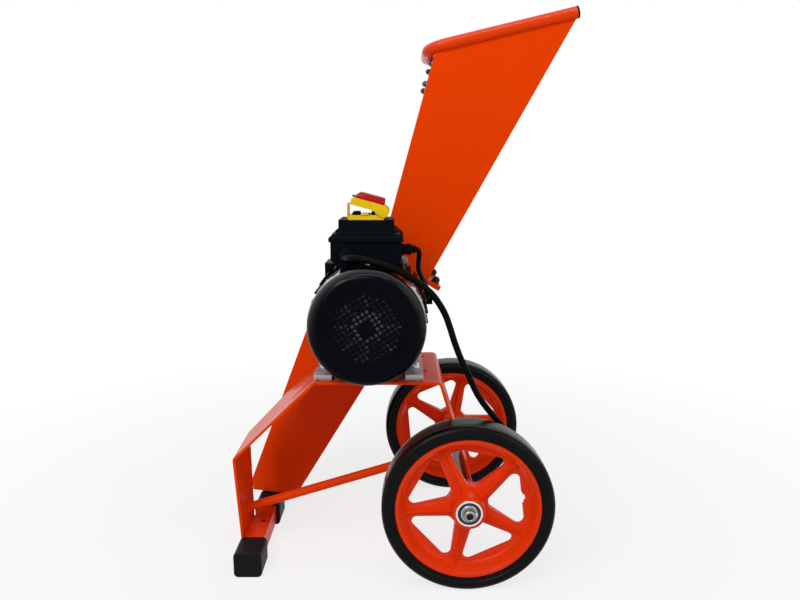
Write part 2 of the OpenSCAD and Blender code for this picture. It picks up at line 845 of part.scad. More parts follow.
// Foot plate with an upright web that meets the motor body
module motor_feet() {
    web_t = 10;
    web_in = foot_pitch_x / 2 - 24;
    color(alloy)
    for (side = [-1, 1])
        difference() {
            union() {
                block([motor_x + side * motor_foot_out - (side > 0 ? motor_foot_w : 0), motor_foot_y0, plate_z],
                      [motor_x + side * motor_foot_out + (side > 0 ? 0 : motor_foot_w), motor_foot_y1,
                       plate_z + motor_foot_t]);
                block([motor_x + side * (web_in + web_t / 2) - web_t / 2, body_y0 + 8, plate_z],
                      [motor_x + side * (web_in + web_t / 2) + web_t / 2, body_y1 - 8, shaft_z - body_r * 0.55]);
                block([motor_x + side * (web_in + 7) - 7, body_y0 + 8, plate_z],
                      [motor_x + side * (web_in + 7) + 7, body_y1 - 8, plate_z + motor_foot_t]);
            }
            for (row = [-1, 1])
                translate([motor_x + side * foot_pitch_x / 2, foot_mid_y + row * foot_pitch_y / 2, plate_z - eps])
                    cylinder(d = foot_bolt_d + 1, h = motor_foot_t + 2 * eps);
            rod_y(motor_x, shaft_z, body_d, body_y0, body_y1);
            for (k = [0:fin_count - 1])
                let (a = (k + 0.5) * 360 / fin_count)
                if (a < 230 || a > 310)
                    translate([motor_x, 0, shaft_z])
                        rotate([0, -a, 0])
                            block([body_r - 4, body_y0 + 1, -fin_t / 2], [fin_d / 2, body_y1 - 1, fin_t / 2]);
        }
}

module foot_bolts() {
    nut_h = foot_bolt_d * 0.8;
    washer_h = 2;
    reach = motor_foot_t + plate_t + washer_h + nut_h + 2;
    color(steel)
    for (side = [-1, 1], row = [-1, 1])
        translate([motor_x + side * foot_pitch_x / 2, foot_mid_y + row * foot_pitch_y / 2, plate_z + motor_foot_t]) {
            hex_bolt(foot_bolt_d, reach);
            translate([0, 0, -motor_foot_t - plate_t - washer_h])
                difference() {
                    cylinder(d = foot_bolt_d * 2.4, h = washer_h);
                    translate([0, 0, -eps])
                        cylinder(d = foot_bolt_d, h = washer_h + 2 * eps);
                }
            translate([0, 0, -motor_foot_t - plate_t - washer_h - nut_h])
                difference() {
                    cylinder(d = foot_bolt_d * 1.7, h = nut_h, $fn = 6);
                    translate([0, 0, -eps])
                        cylinder(d = foot_bolt_d, h = nut_h + 2 * eps);
                }
        }
}

// Shield at the fan end, with the seat of the first shaft bearing
module fan_shield() {
    color(dark)
    difference() {
        union() {
            rod_y(motor_x, shaft_z, body_d - 4, body_y0 - shield_t, body_y0);
            rod_y(motor_x, shaft_z, body_bore, body_y0, body_y0 + 4);
        }
        rod_y(motor_x, shaft_z, shaft_bearing_d, bearing_near_y, bearing_near_y + shaft_bearing_w);
        rod_y(motor_x, shaft_z, shaft_bearing_d - 8, cowl_y, 0);
    }
}

// Bare flange at the drive end, between the motor body and the housing
module drive_flange() {
    color(alloy)
    difference() {
        union() {
            intersection() {
                rod_y(motor_x, shaft_z, fin_d + 12, body_y1, housing_y);
                block([motor_x - 60, body_y1, shaft_z - 78], [motor_x + 60, housing_y, shaft_z + 78]);
            }
            rod_y(motor_x, shaft_z, body_bore, body_y1 - 4, body_y1);
        }
        rod_y(motor_x, shaft_z, shaft_bearing_d, bearing_far_y, bearing_far_y + shaft_bearing_w);
        rod_y(motor_x, shaft_z, shaft_bearing_d - 8, 0, housing_y + eps);
        for (sx = [-1, 1], sz = [-1, 1])
            rod_y(motor_x + sx * flange_screw_x, shaft_z + sz * flange_screw_z, 8.2, body_y1 + 6, housing_y + eps);
    }
}

// Screws that hold the housing on the motor's flange
module flange_screws() {
    color(steel)
    for (sx = [-1, 1], sz = [-1, 1])
        translate([motor_x + sx * flange_screw_x, housing_y + drum_t, shaft_z + sz * flange_screw_z])
            rotate([-90, 0, 0]) {
                cylinder(d = 13, h = rotor_gap - 1, $fn = 6);
                translate([0, 0, -drum_t - 20])
                    cylinder(d = 8, h = drum_t + 20);
            }
}

module stator_core() {
    color("slategray")
    difference() {
        rod_y(motor_x, shaft_z, body_bore, core_y0, core_y1);
        rod_y(motor_x, shaft_z, core_d + 2 * air_gap, core_y0 - eps, core_y1 + eps);
    }
}

module stator_winding() {
    color("#b06a32")
    for (start = [core_y0 - winding_l + 4, core_y1])
        turned_y(motor_x, shaft_z)
            polygon(rounded(frame_of([core_d / 2 + 14, start + (winding_l - 4) / 2], [18, winding_l - 4]), 3));
}

// Fan cowl with rings of holes in its front face
module fan_cowl() {
    r1 = cowl_d / 2;
    color(dark)
    difference() {
        turned_y(motor_x, shaft_z)
            polygon(concat([[0, cowl_y + cowl_t], [0, cowl_y]],
                    corner_arc([0, cowl_y], [r1, cowl_y], [r1, cowl_y1], cowl_r),
                    [[r1, cowl_y1], [r1 - cowl_t, cowl_y1]],
                    corner_arc([r1 - cowl_t, cowl_y1], [r1 - cowl_t, cowl_y + cowl_t], [0, cowl_y + cowl_t],
                               cowl_r - cowl_t)));
        for (ring = [2:6])
            for (k = [0:ring * 6 - 1])
                translate([motor_x, cowl_y - eps, shaft_z])
                    rotate([0, k * 60 / ring, 0])
                        translate([ring * 7.6, 0, 0])
                            rotate([-90, 0, 0])
                                cylinder(d = 4, h = cowl_t + 2 * eps, $fn = 8);
        for (a = [0, 120, 240])
            translate([motor_x, body_y0 - shield_t + 5, shaft_z])
                rotate([0, a, 0])
                    cylinder(d = 4.4, h = cowl_d);
    }
}

// Cowl screws, on lugs that stand between the shield and the cowl
module cowl_screws() {
    color(steel)
    for (a = [0, 120, 240])
        translate([motor_x, body_y0 - shield_t + 5, shaft_z])
            rotate([0, a, 0]) {
                translate([0, 0, body_r - 1.9])
                    cylinder(d = 9, h = cowl_d / 2 - cowl_t - body_r + 1.7);
                translate([0, 0, cowl_d / 2 - cowl_t - eps])
                    cylinder(d = 4.3, h = cowl_t + eps);
                translate([0, 0, cowl_d / 2])
                    cylinder(d = 7, h = 2.2);
            }
}

module shaft_bearings() {
    color(steel)
    for (start = [bearing_near_y, bearing_far_y])
        difference() {
            rod_y(motor_x, shaft_z, shaft_bearing_d, start, start + shaft_bearing_w);
            rod_y(motor_x, shaft_z, shaft_d + 2 * fit, start - eps, start + shaft_bearing_w + eps);
        }
}

module motor_shaft() {
    color(steel)
    difference() {
        union() {
            rod_y(motor_x, shaft_z, fan_bore, shaft_y0, bearing_near_y - 2);
            rod_y(motor_x, shaft_z, shaft_d, bearing_near_y - 2, housing_y + drum_t + 1);
            rod_y(motor_x, shaft_z, rotor_bore, housing_y, shaft_y1);
        }
        rod_y(motor_x, shaft_z, 10, shaft_y1 - 20, shaft_y1 + eps);
    }
}

module rotor_core() {
    color("gainsboro")
    difference() {
        rod_y(motor_x, shaft_z, core_d, core_y0, core_y1);
        rod_y(motor_x, shaft_z, shaft_d, core_y0 - eps, core_y1 + eps);
    }
}

module cooling_fan() {
    color("dimgray")
    difference() {
        union() {
            rod_y(motor_x, shaft_z, 44, fan_y0, fan_y1);
            rod_y(motor_x, shaft_z, fan_d - 10, fan_y1 - 3, fan_y1);
            for (k = [0:fan_blades - 1])
                translate([motor_x, 0, shaft_z])
                    rotate([0, k * 360 / fan_blades, 0])
                        block([18, fan_y0 + 0.5, -1.5], [fan_d / 2, fan_y1 - 0.5, 1.5]);
        }
        rod_y(motor_x, shaft_z, fan_bore, fan_y0 - eps, fan_y1 + eps);
    }
}

// Switch box

// Front view of the box, with its lower corners cut
function box_outline(inset) =
    [[box_x0 + inset, lid_z], [box_x0 + inset, box_z + box_cut],
     [box_x0 + box_cut, box_z + inset], [box_x1 - box_cut, box_z + inset],
     [box_x1 - inset, box_z + box_cut], [box_x1 - inset, lid_z]];

module switch_box() {
    color(dark)
    difference() {
        along_y(box_y, box_y1)
            polygon(box_outline(0));
        difference() {
            along_y(box_y + box_wall, box_y1 - box_wall)
                polygon(concat(box_outline(box_wall), [[box_x1 - box_wall, lid_z + eps], [box_x0 + box_wall, lid_z + eps]]));
            for (s = lid_screw_places())
                translate([s.x, s.y, box_z])
                    cylinder(d = 9, h = box_h);
        }
        for (s = lid_screw_places())
            translate([s.x, s.y, lid_z - 14])
                cylinder(d = 4, h = 20);
    }
}

function lid_screw_places() =
    [for (sx = [-1, 1], sy = [-1, 1])
        [box_x + sx * (box_w / 2 - 7), box_y + box_d / 2 + sy * (box_d / 2 - 7)]];

// Lid: a rim over the box, sloping shoulders and a flat top
module box_lid() {
    rim_h = 6;
    block_h = 13;
    shoulder_z = lid_top - block_h;
    rim_z = lid_z + 3;
    top_w = box_w + 2 * lid_lip - 2 * lid_inset;
    top_d = box_d + 2 * lid_lip - 2 * lid_inset;
    mid_y = box_y + box_d / 2;
    inner = 2 * box_wall;
    color(dark)
    difference() {
        union() {
            block([box_x0 - lid_lip, box_y - lid_lip, rim_z - rim_h], [box_x1 + lid_lip, box_y1 + lid_lip, rim_z]);
            translate([box_x, mid_y, rim_z])
                lid_shoulder(box_w + 2 * lid_lip, box_d + 2 * lid_lip, top_w, top_d, shoulder_z - rim_z);
            block([box_x - top_w / 2, mid_y - top_d / 2, shoulder_z], [box_x + top_w / 2, mid_y + top_d / 2, lid_top]);
        }
        block([box_x0, box_y, lid_z - rim_h], [box_x1, box_y1, lid_z]);
        block([box_x - (top_w - inner) / 2, mid_y - (top_d - inner) / 2, lid_z - eps],
              [box_x + (top_w - inner) / 2, mid_y + (top_d - inner) / 2, lid_top - box_wall]);
        for (s = lid_screw_places())
            translate([s.x, s.y, lid_z - eps])
                cylinder(d = 4.4, h = lid_h);
        for (s = lid_screw_places())
            translate([s.x, s.y, lid_z + screw_seat])
                cylinder(d = 8.5, h = lid_h);
        for (y = [start_y, stop_y])
            translate([button_x, y, lid_top - box_wall - eps])
                cylinder(d = button_d + 6, h = 10);
    }
}

// Frustum with a rectangular base
module lid_shoulder(w0, d0, w1, d1, h) {
    low = [for (p = frame_of([0, 0], [w0, d0])) [p.x, p.y, 0]];
    high = [for (p = frame_of([0, 0], [w1, d1])) [p.x, p.y, h]];
    polyhedron(concat(low, high),
               [[0, 1, 2, 3], [7, 6, 5, 4], [0, 4, 5, 1], [1, 5, 6, 2], [2, 6, 7, 3], [3, 7, 4, 0]]);
}

module lid_screws() {
    head_z = lid_z + screw_seat;
    color(steel)
    for (s = lid_screw_places())
        translate([s.x, s.y, 0]) {
            translate([0, 0, lid_z - 14])
                cylinder(d = 4, h = head_z - lid_z + 14);
            translate([0, 0, head_z])
                cylinder(d = 7.5, h = 2.5);
        }
}

// Motor capacitor, lying in the box
module capacitor() {
    d = 32;
    color("lightgray")
        rod_y(box_x - 14, box_z + box_wall + d / 2, d, box_y + 22, box_y + 98);
}

module cord_gland() {
    color(rubber)
        translate([gland_x, box_y, gland_z])
            rotate([90, 0, 0]) {
                cylinder(d = 24, h = 6, $fn = 6);
                cylinder(d = 19, h = 12);
                translate([0, 0, 8])
                    cylinder(d = 22, h = 8, $fn = 12);
                translate([0, 0, 16])
                    cylinder(d1 = 20, d2 = cord_d + 3, h = gland_l - 16);
            }
}

module cable_gland() {
    color(rubber)
        translate([box_x1, cable_gland_y, cable_gland_z])
            rotate([0, 90, 0]) {
                cylinder(d = 20, h = 5, $fn = 6);
                cylinder(d = 15, h = 16);
                translate([0, 0, 7])
                    cylinder(d = 17, h = 8, $fn = 12);
                cylinder(d = 11, h = 22);
            }
}

module interlock_cable() {
    color(rubber)
        swept(cable_route, cable_d);
}

// Safety switch on the housing, under the hopper's flange
module interlock_switch() {
    color(rubber) {
        translate(interlock_at)
            rotate([-90, 0, 0])
                cylinder(d = cable_d + 4, h = 3);
        block([interlock_at.x - 13, interlock_at.y + 2, interlock_at.z - 13],
              [interlock_at.x + 9, housing_y, interlock_at.z + 8]);
    }
}

// Stop switch

module switch_base() {
    color(yellow)
    difference() {
        union() {
            along_y(switch_y0, switch_y1)
                polygon([[switch_x0, lid_top], [switch_x1, lid_top], [switch_x1, switch_top - 1],
                         [switch_x1 - 1, switch_top], [switch_x0 + 1, switch_top], [switch_x0, switch_top - 1]]);
            along_y(switch_y0 + 12, switch_y1 - 12)
                polygon([[switch_x0 - 2.6, lid_top], [switch_x0 + 1, lid_top], [switch_x0 + 1, switch_top - 2],
                         [switch_x0 - 0.2, switch_top - 1.5], [switch_x0 - 0.2, lid_top + 24],
                         [switch_x0 - 1.8, lid_top + 25], [switch_x0 - 2.6, lid_top + 24]]);
            for (y = [switch_y0, switch_y1 - ear_w])
                along_y(y, y + ear_w)
                    polygon([[pin_x - 8, lid_top + 1], [switch_x1, lid_top + 1], [pin_x + 4, pin_z],
                             [pin_x + 2, pin_z + 3.5], [pin_x - 2, pin_z + 3.5], [pin_x - 4, pin_z]]);
        }
        for (y = [start_y, stop_y])
            translate([button_x, y, lid_top - eps])
                cylinder(d = button_d + 2 * fit, h = switch_h + 3);
        rod_y(pin_x, pin_z, pin_d, switch_y0 - eps, switch_y1 + eps);
    }
}

// Flap over the buttons, standing ajar on its pin
module stop_flap() {
    l = switch_l - 2;
    y0 = switch_y0 + ear_w + gap;
    y1 = switch_y1 - ear_w - gap;
    skin = 3;
    color(yellow)
    difference() {
        union() {
            translate([pin_x, 0, pin_z])
                rotate([0, flap_tilt, 0]) {
                    difference() {
                        along_y(switch_y0, switch_y1)
                            polygon([[-l, -1.5], [-l, pad_h - 3], [-l + 4, pad_h], [-5, pad_h], [5, 7], [5, 5.5],
                                     [-9, 5.5], [-9, -1.5]]);
                        along_y(switch_y0 + skin, switch_y1 - skin)
                            polygon([[-l + skin, -3], [-l + skin, pad_h - skin], [-9 - skin, pad_h - skin],
                                     [-9 - skin, -3]]);
                    }
                    along_y(y0, y1)
                        polygon([[-5, 1], [-9, 5.5], [-9, 8], [3, 7.5], [5, 6], [3.5, 0], [2, -3], [-2, -3]]);
                }
        }
        rod_y(pin_x, pin_z, pin_d + 2 * fit, switch_y0 - eps, switch_y1 + eps);
    }
}

module flap_pin() {
    color(steel)
        rod_y(pin_x, pin_z, pin_d, switch_y0 + 0.5, switch_y1 - 0.5);
}

// Red pad on the flap
module stop_pad() {
    l = 36;
    color(red)
        translate([pin_x, 0, pin_z])
            rotate([0, flap_tilt, 0])
                along_y(switch_y0 + 4, switch_y1 - 4)
                    polygon([[-l - 7, pad_h], [-l - 9, pad_h + 1.6], [-l - 9, pad_h + 2.6], [-l - 6.5, pad_h + 3],
                             [-l - 5, pad_h + 10.5], [-5.5, pad_h + 10.5], [-4.5, pad_h + 3], [-3, pad_h + 2.6],
                             [-3, pad_h + 1.6], [-6, pad_h]]);
}

module button(y, tint) {
    color(tint)
        translate([button_x, y, 0]) {
            translate([0, 0, lid_top - box_wall - 4])
                cylinder(d = button_d + 4, h = box_wall);
            translate([0, 0, lid_top - box_wall - 2])
                cylinder(d = button_d, h = switch_h + box_wall + 2 + button_out);
        }
}

module start_button() {
    button(start_y, "seagreen");
}

module stop_button() {
    button(stop_y, red);
}

// Rotor housing

// Region inside the chute's walls, reaching up to the rotor's axis
module chute_inside() {
    front_side = right_of(unit(front_touch - tip));
    rear_side = -right_of(chute_dir);
    polygon([motor_axis, front_touch + front_side * chute_t, tip + front_side * chute_t,
             tip_low + [chute_t, -20], rear_low + rear_side * chute_t + [0, -20],
             rear_low + rear_side * chute_t, rear_up + rear_side * chute_t]);
}

module drum_outline() {
    translate(motor_axis) {
        circle(d = drum_d, $fn = 96);
        rotate(-feed_tilt)
            translate([feed_start - drum_t, 0])
                square([feed_end - feed_start + 2 * drum_t, flange_n - flange_t / 2]);
    }
}

// Hollow of the drum, open to the hopper and to the chute
module drum_inside() {
    translate(motor_axis) {
        circle(d = drum_d - 2 * drum_t, $fn = 96);
        rotate(-feed_tilt)
            translate([feed_start, 0])
                square([feed_end - feed_start, flange_n + 1]);
    }
    chute_inside();
}

module cover_ears() {
    for (a = cover_angles)
        translate(motor_axis + ear_out * [cos(a), sin(a)])
            circle(r = ear_r);
}

// Part of the plane further than n from the axis towards the hopper
module above_flange(n) {
    translate(motor_axis)
        rotate(-feed_tilt)
            translate([-300, n])
                square([600, 300]);
}

module flange_plate(n0, n1, y0, y1) {
    feed_frame()
        block([feed_start - flange_w, y0, n0], [feed_end + flange_w, y1, n1]);
}

function flange_bolt_places() =
    [for (d = [feed_start - flange_w / 2 - 1, feed_end + flange_w / 2 + 1],
          y = [hopper_y0 + 16, hopper_y1 - 16]) [d, y]];

module rotor_housing() {
    color(orange)
    difference() {
        union() {
            along_y(housing_y, housing_y1 - drum_t)
                difference() {
                    drum_outline();
                    above_flange(flange_n - flange_t / 2);
                }
            flange_plate(flange_n - flange_t, flange_n, housing_y + 0.5, housing_y1 - 0.5);
            along_y(housing_y1 - drum_t - 20, housing_y1 - drum_t)
                cover_ears();
        }
        along_y(housing_y + drum_t, housing_y1 - drum_t + 0.5)
            drum_inside();
        rod_y(motor_x, shaft_z, shaft_d + 6, 0, housing_y + drum_t + eps);
        for (sx = [-1, 1], sz = [-1, 1])
            rod_y(motor_x + sx * flange_screw_x, shaft_z + sz * flange_screw_z, 8.2, housing_y - eps, housing_y + drum_t + eps);
        for (p = flange_bolt_places())
            feed_frame()
                translate([p.x, p.y, flange_n - flange_t - eps])
                    cylinder(d = 9, h = flange_t + 2 * eps);
        for (a = cover_angles)
            let (p = motor_axis + ear_out * [cos(a), sin(a)])
            rod_y(p.x, p.y, 8.2, housing_y1 - drum_t - 16, housing_y1);
    }
}

module housing_cover() {
    color(orange)
    difference() {
        along_y(housing_y1 - drum_t, housing_y1)
            difference() {
                union() {
                    drum_outline();
                    cover_ears();
                }
                above_flange(flange_n - flange_t);
            }
        for (a = cover_angles)
            let (p = motor_axis + ear_out * [cos(a), sin(a)])
            rod_y(p.x, p.y, 8.2, housing_y1 - drum_t - eps, housing_y1 + eps);
    }
}

module cover_bolts() {
    color(steel)
    for (a = cover_angles)
        let (p = motor_axis + ear_out * [cos(a), sin(a)])
        translate([p.x, housing_y1, p.y])
            rotate([-90, 0, 0])
                hex_bolt(8, drum_t + 14);
}

// Rotor with two pockets that seat the blades
module chip_rotor() {
    color("dimgray")
    difference() {
        rod_y(motor_x, shaft_z, rotor_d, rotor_y0, rotor_y1);
        rod_y(motor_x, shaft_z, rotor_bore, rotor_y0 - eps, rotor_y1 + eps);
        rod_y(motor_x, shaft_z, 40, shaft_y1 + 8, rotor_y1 + eps);
        for (half = [0, 180])
            translate([motor_x, 0, shaft_z])
                rotate([0, half, 0]) {
                    block([0, rotor_y0 - eps, blade_in], [rotor_d, rotor_y1 + eps, rotor_d]);
                    for (y = blade_bolt_places())
                        translate([-16, y, blade_in + 14])
                            rotate([0, 90, 0])
                                cylinder(d = 8 + 2 * fit, h = 20);
                }
    }
}

function blade_bolt_places() =
    [for (k = [-1, 0, 1]) (rotor_y0 + rotor_y1) / 2 + k * (rotor_y1 - rotor_y0) / 3];

module blades() {
    edge = tip_d / 2;
    color(steel)
    for (half = [0, 180])
        translate([motor_x, 0, shaft_z])
            rotate([0, half, 0])
                difference() {
                    along_y(rotor_y0, rotor_y1)
                        polygon([[0, blade_in], [blade_t, blade_in], [blade_t, edge - 1], [0, edge - 9]]);
                    for (y = blade_bolt_places())
                        translate([-eps, y, blade_in + 14])
                            rotate([0, 90, 0])
                                cylinder(d = 8 + 2 * fit, h = blade_t + 2 * eps);
                }
}

module blade_bolts() {
    color(steel)
    for (half = [0, 180])
        translate([motor_x, 0, shaft_z])
            rotate([0, half, 0])
                for (y = blade_bolt_places())
                    translate([blade_t, y, blade_in + 14])
                        rotate([0, 90, 0])
                            hex_bolt(8, blade_t + 14);
}

// Bolt and washer that hold the rotor on the shaft
module rotor_bolt() {
    color(steel)
        translate([motor_x, shaft_y1 + 8, shaft_z])
            rotate([-90, 0, 0]) {
                cylinder(d = 34, h = 4);
                translate([0, 0, 4])
                    cylinder(d = 17, h = 7, $fn = 6);
                translate([0, 0, -22])
                    cylinder(d = 10, h = 22);
            }
}

// Counter blade in the feed opening
module anvil() {
    color(steel)
        feed_frame()
            block([feed_end - 11, housing_y + drum_t, flange_n - flange_t - 13],
                  [feed_end, housing_y1 - drum_t, flange_n - flange_t - 3]);
}

// Hopper

module hopper() {
    front_inner = front_in * sheet_t;
    rear_inner = -right_of(rear_wall_dir) * sheet_t;
    up = 40;
    color(orange)
    difference() {
        union() {
            along_y(hopper_y0, hopper_y1)
                polygon([front_foot + front_dir * 2, rear_foot + rear_wall_dir * 2, rear_top, front_top]);
            flange_plate(flange_n, flange_n + flange_t, hopper_y0 + 0.5, hopper_y1 - 0.5);
        }
        along_y(hopper_y0 + sheet_t, hopper_y1 - sheet_t)
            polygon([front_foot + front_inner - front_dir * up, rear_foot + rear_inner - rear_wall_dir * up,
                     rear_top + rear_inner + rear_wall_dir * up, front_top + front_inner + front_dir * up]);
        for (p = flange_bolt_places())
            feed_frame()
                translate([p.x, p.y, flange_n - eps])
                    cylinder(d = 9, h = flange_t + 2 * eps);
        for (row = bolt_rows, y = [hopper_y0 + bolt_inset, hopper_y1 - bolt_inset])
            front_wall(row)
                translate([0, y, -sheet_t - eps])
                    cylinder(d = 6.4, h = sheet_t + 2 * eps);
    }
}

// Screws through the hopper's flange into the housing's flange
module hopper_bolts() {
    under = flange_n - flange_t;
    color(rubber)
    for (p = flange_bolt_places())
        feed_frame()
            translate([p.x, p.y, 0]) {
                translate([0, 0, under])
                    cylinder(d = 8, h = 2 * flange_t + 11);
                translate([0, 0, flange_n + flange_t])
                    cylinder(d = 16, h = 1.6);
                translate([0, 0, flange_n + flange_t + 1.6])
                    cylinder(d = 14, h = 7.5, $fn = 6);
            }
}

// Frame on the tube's plane, X running along the mouth
module tube_frame() {
    translate([tube_base.x, 0, tube_base.y])
        rotate([0, -mouth_tilt, 0])
            children();
}

module tube_ring() {
    difference() {
        circle(d = tube_d, $fn = 48);
        circle(d = tube_d - 2 * tube_wall, $fn = 48);
    }
}

module handle_tube() {
    start = tube_front + tube_bend;
    color(orange)
        tube_frame() {
            for (y = [tube_y0, tube_y1])
                translate([start, y, 0])
                    rotate([90, 0, 90])
                        linear_extrude(tube_reach - start)
                            tube_ring();
            translate([tube_front, tube_y1 - tube_bend, 0])
                rotate([90, 0, 0])
                    linear_extrude(tube_y1 - tube_y0 - 2 * tube_bend)
                        tube_ring();
            translate([start, tube_y0 + tube_bend, 0])
                rotate([0, 0, 180])
                    rotate_extrude(angle = 90)
                        translate([tube_bend, 0])
                            tube_ring();
            translate([start, tube_y1 - tube_bend, 0])
                rotate([0, 0, 90])
                    rotate_extrude(angle = 90)
                        translate([tube_bend, 0])
                            tube_ring();
        }
}

module tube_caps() {
    color(rubber)
        tube_frame()
            for (y = [tube_y0, tube_y1])
                translate([tube_reach, y, 0])
                    rotate([0, 90, 0]) {
                        cylinder(d = tube_d, h = cap_t);
                        translate([0, 0, -10])
                            cylinder(d = tube_d - 2 * tube_wall, h = 10);
                    }
}

// Rubber flap that hangs in the hopper from its bead
module rubber_flap() {
    color(rubber) {
        rod_y(hinge_at.x, hinge_at.y, bead_d, hopper_y0 + sheet_t + curtain_side, hopper_y1 - sheet_t - curtain_side);
        block([hinge_at.x - curtain_t / 2, hopper_y0 + sheet_t + curtain_side, hinge_at.y - curtain_l],
              [hinge_at.x + curtain_t / 2, hopper_y1 - sheet_t - curtain_side, hinge_at.y]);
    }
}

module flap_clamp() {
    color(steel)
    difference() {
        front_wall(clamp_drop + clamp_l)
            block([0, hopper_y0 + sheet_t + curtain_side, -sheet_t - clamp_t],
                  [clamp_l, hopper_y1 - sheet_t - curtain_side, -sheet_t - fit]);
        for (row = bolt_rows, y = [hopper_y0 + bolt_inset, hopper_y1 - bolt_inset])
            front_wall(row)
                translate([0, y, -sheet_t - clamp_t - eps])
                    cylinder(d = 6.4, h = clamp_t + 2 * eps);
    }
}

module flap_bolts() {
    color(dark)
    for (row = bolt_rows, y = [hopper_y0 + bolt_inset, hopper_y1 - bolt_inset])
        front_wall(row)
            translate([0, y, 0]) {
                translate([0, 0, -sheet_t - clamp_t - 3])
                    cylinder(d = 11, h = 3);
                translate([0, 0, -sheet_t - clamp_t])
                    cylinder(d = 6, h = sheet_t + clamp_t + 10);
                cylinder(d = 12, h = 1.4);
                translate([0, 0, 1.4])
                    cylinder(d = 11, h = 5, $fn = 6);
            }
}

// Chute

module chute() {
    color(orange)
    difference() {
        along_y(housing_y, housing_y1)
            polygon([motor_axis, front_touch, tip, tip_low, rear_low, rear_up]);
        along_y(housing_y + chute_t, housing_y1 - chute_t)
            chute_inside();
        rod_y(motor_x, shaft_z, drum_d, housing_y - eps, housing_y1 + eps);
    }
}

// Cord

module mains_cord() {
    color(rubber)
        swept(cord_route, cord_d);
}

// Plug that hangs at the cord's end
module mains_plug() {
    color(rubber)
        translate(plug_at) {
            translate([0, 0, -relief_l])
                cylinder(d1 = 17, d2 = cord_d + 1.5, h = relief_l);
            translate([0, 0, -relief_l - plug_l])
                linear_extrude(plug_l)
                    polygon(rounded(frame_of([0, 0], [plug_thick, plug_w]), 8));
        }
    color(steel)
        translate([plug_at.x, plug_at.y, plug_at.z - relief_l - plug_l]) {
            for (s = [-1, 1])
                block([-1 - 4, s * 8 - 3, -17], [1 - 4, s * 8 + 3, 0]);
            translate([6, 0, -19])
                cylinder(d = 4.8, h = 19);
        }
}

frame_plate();
foot_bar();
near_foot();
far_foot();
brace_tube();
axle();
near_tyre();
near_rim();
near_bearings();
far_tyre();
far_rim();
far_bearings();
axle_washers();
circlips();
motor_body();
motor_feet();
foot_bolts();
fan_shield();
drive_flange();
flange_screws();
stator_core();
stator_winding();
fan_cowl();
cowl_screws();
shaft_bearings();
motor_shaft();
rotor_core();
cooling_fan();
switch_box();
box_lid();
lid_screws();
capacitor();
cord_gland();
cable_gland();
interlock_cable();
interlock_switch();
switch_base();
stop_flap();
flap_pin();
stop_pad();
start_button();
stop_button();
rotor_housing();
housing_cover();
cover_bolts();
chip_rotor();
blades();
blade_bolts();
rotor_bolt();
anvil();
hopper();
hopper_bolts();
handle_tube();
tube_caps();
rubber_flap();
flap_clamp();
flap_bolts();
chute();
mains_cord();
mains_plug();
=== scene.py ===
from functools import partial
import json
from math import acos, atan2, cos, hypot, pi, radians, sin, tan
import bmesh
import bpy
from mathutils import Matrix, Vector


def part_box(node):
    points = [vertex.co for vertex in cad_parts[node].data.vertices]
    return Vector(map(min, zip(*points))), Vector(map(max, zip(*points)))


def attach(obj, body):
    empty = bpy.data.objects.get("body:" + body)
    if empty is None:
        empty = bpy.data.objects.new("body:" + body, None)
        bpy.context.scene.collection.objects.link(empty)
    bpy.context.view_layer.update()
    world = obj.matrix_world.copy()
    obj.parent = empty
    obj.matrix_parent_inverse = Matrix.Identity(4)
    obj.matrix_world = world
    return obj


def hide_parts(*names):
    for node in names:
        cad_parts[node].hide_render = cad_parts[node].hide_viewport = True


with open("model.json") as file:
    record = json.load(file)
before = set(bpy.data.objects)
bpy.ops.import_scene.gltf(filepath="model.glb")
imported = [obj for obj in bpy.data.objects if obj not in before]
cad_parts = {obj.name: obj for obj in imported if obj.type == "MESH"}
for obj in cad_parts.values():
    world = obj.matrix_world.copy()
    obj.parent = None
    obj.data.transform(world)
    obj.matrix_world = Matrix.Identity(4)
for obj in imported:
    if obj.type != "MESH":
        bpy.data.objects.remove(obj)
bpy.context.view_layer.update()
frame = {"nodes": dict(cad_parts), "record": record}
nodeBody = {n: b for b, names in frame["record"]["behaviour"]["bodies"].items() for n in names}
mm = 0.001  # sizes are in millimetres, and in metres where a note says so
print("frame loaded:", len(frame["nodes"]), "nodes")

# camera at the photograph's viewpoint, a level side view from a little above; place in metres
cameraView = {"place": (-0.0115, -1.1398, 0.6049), "tiltDown": 10.07, "lens": 31.5, "sensor": 36}

camData = bpy.data.cameras.new("viewCamera")
camData.lens = cameraView["lens"]
camData.sensor_width = cameraView["sensor"]
camera = bpy.data.objects.new("viewCamera", camData)
camera.location = cameraView["place"]
camera.rotation_euler = (radians(90 - cameraView["tiltDown"]), 0, 0)
bpy.context.collection.objects.link(camera)
bpy.context.scene.camera = camera
bpy.context.scene.view_settings.view_transform = "Standard"


# node helpers

# inputs of a node, from plain values or from sockets to link
def feed(tree, node, inputs):
    for label, value in inputs.items():
        if isinstance(value, bpy.types.NodeSocket):
            tree.links.new(value, node.inputs[label])
        else:
            node.inputs[label].default_value = value


def addNode(tree, kind, inputs=None, **settings):
    node = tree.nodes.new(kind)
    for key, value in settings.items():
        setattr(node, key, value)
    feed(tree, node, inputs or {})
    return node


def noiseNode(tree, coords, scale, detail=3.0, roughness=0.55):
    inputs = {"Vector": coords, "Scale": scale, "Detail": detail, "Roughness": roughness}
    return addNode(tree, "ShaderNodeTexNoise", inputs).outputs["Fac"]


def mathNode(tree, operation, a, b=None, clamp=False, c=None):
    inputs = {i: value for i, value in enumerate((a, b, c)) if value is not None}
    return addNode(tree, "ShaderNodeMath", inputs, operation=operation, use_clamp=clamp).outputs[0]


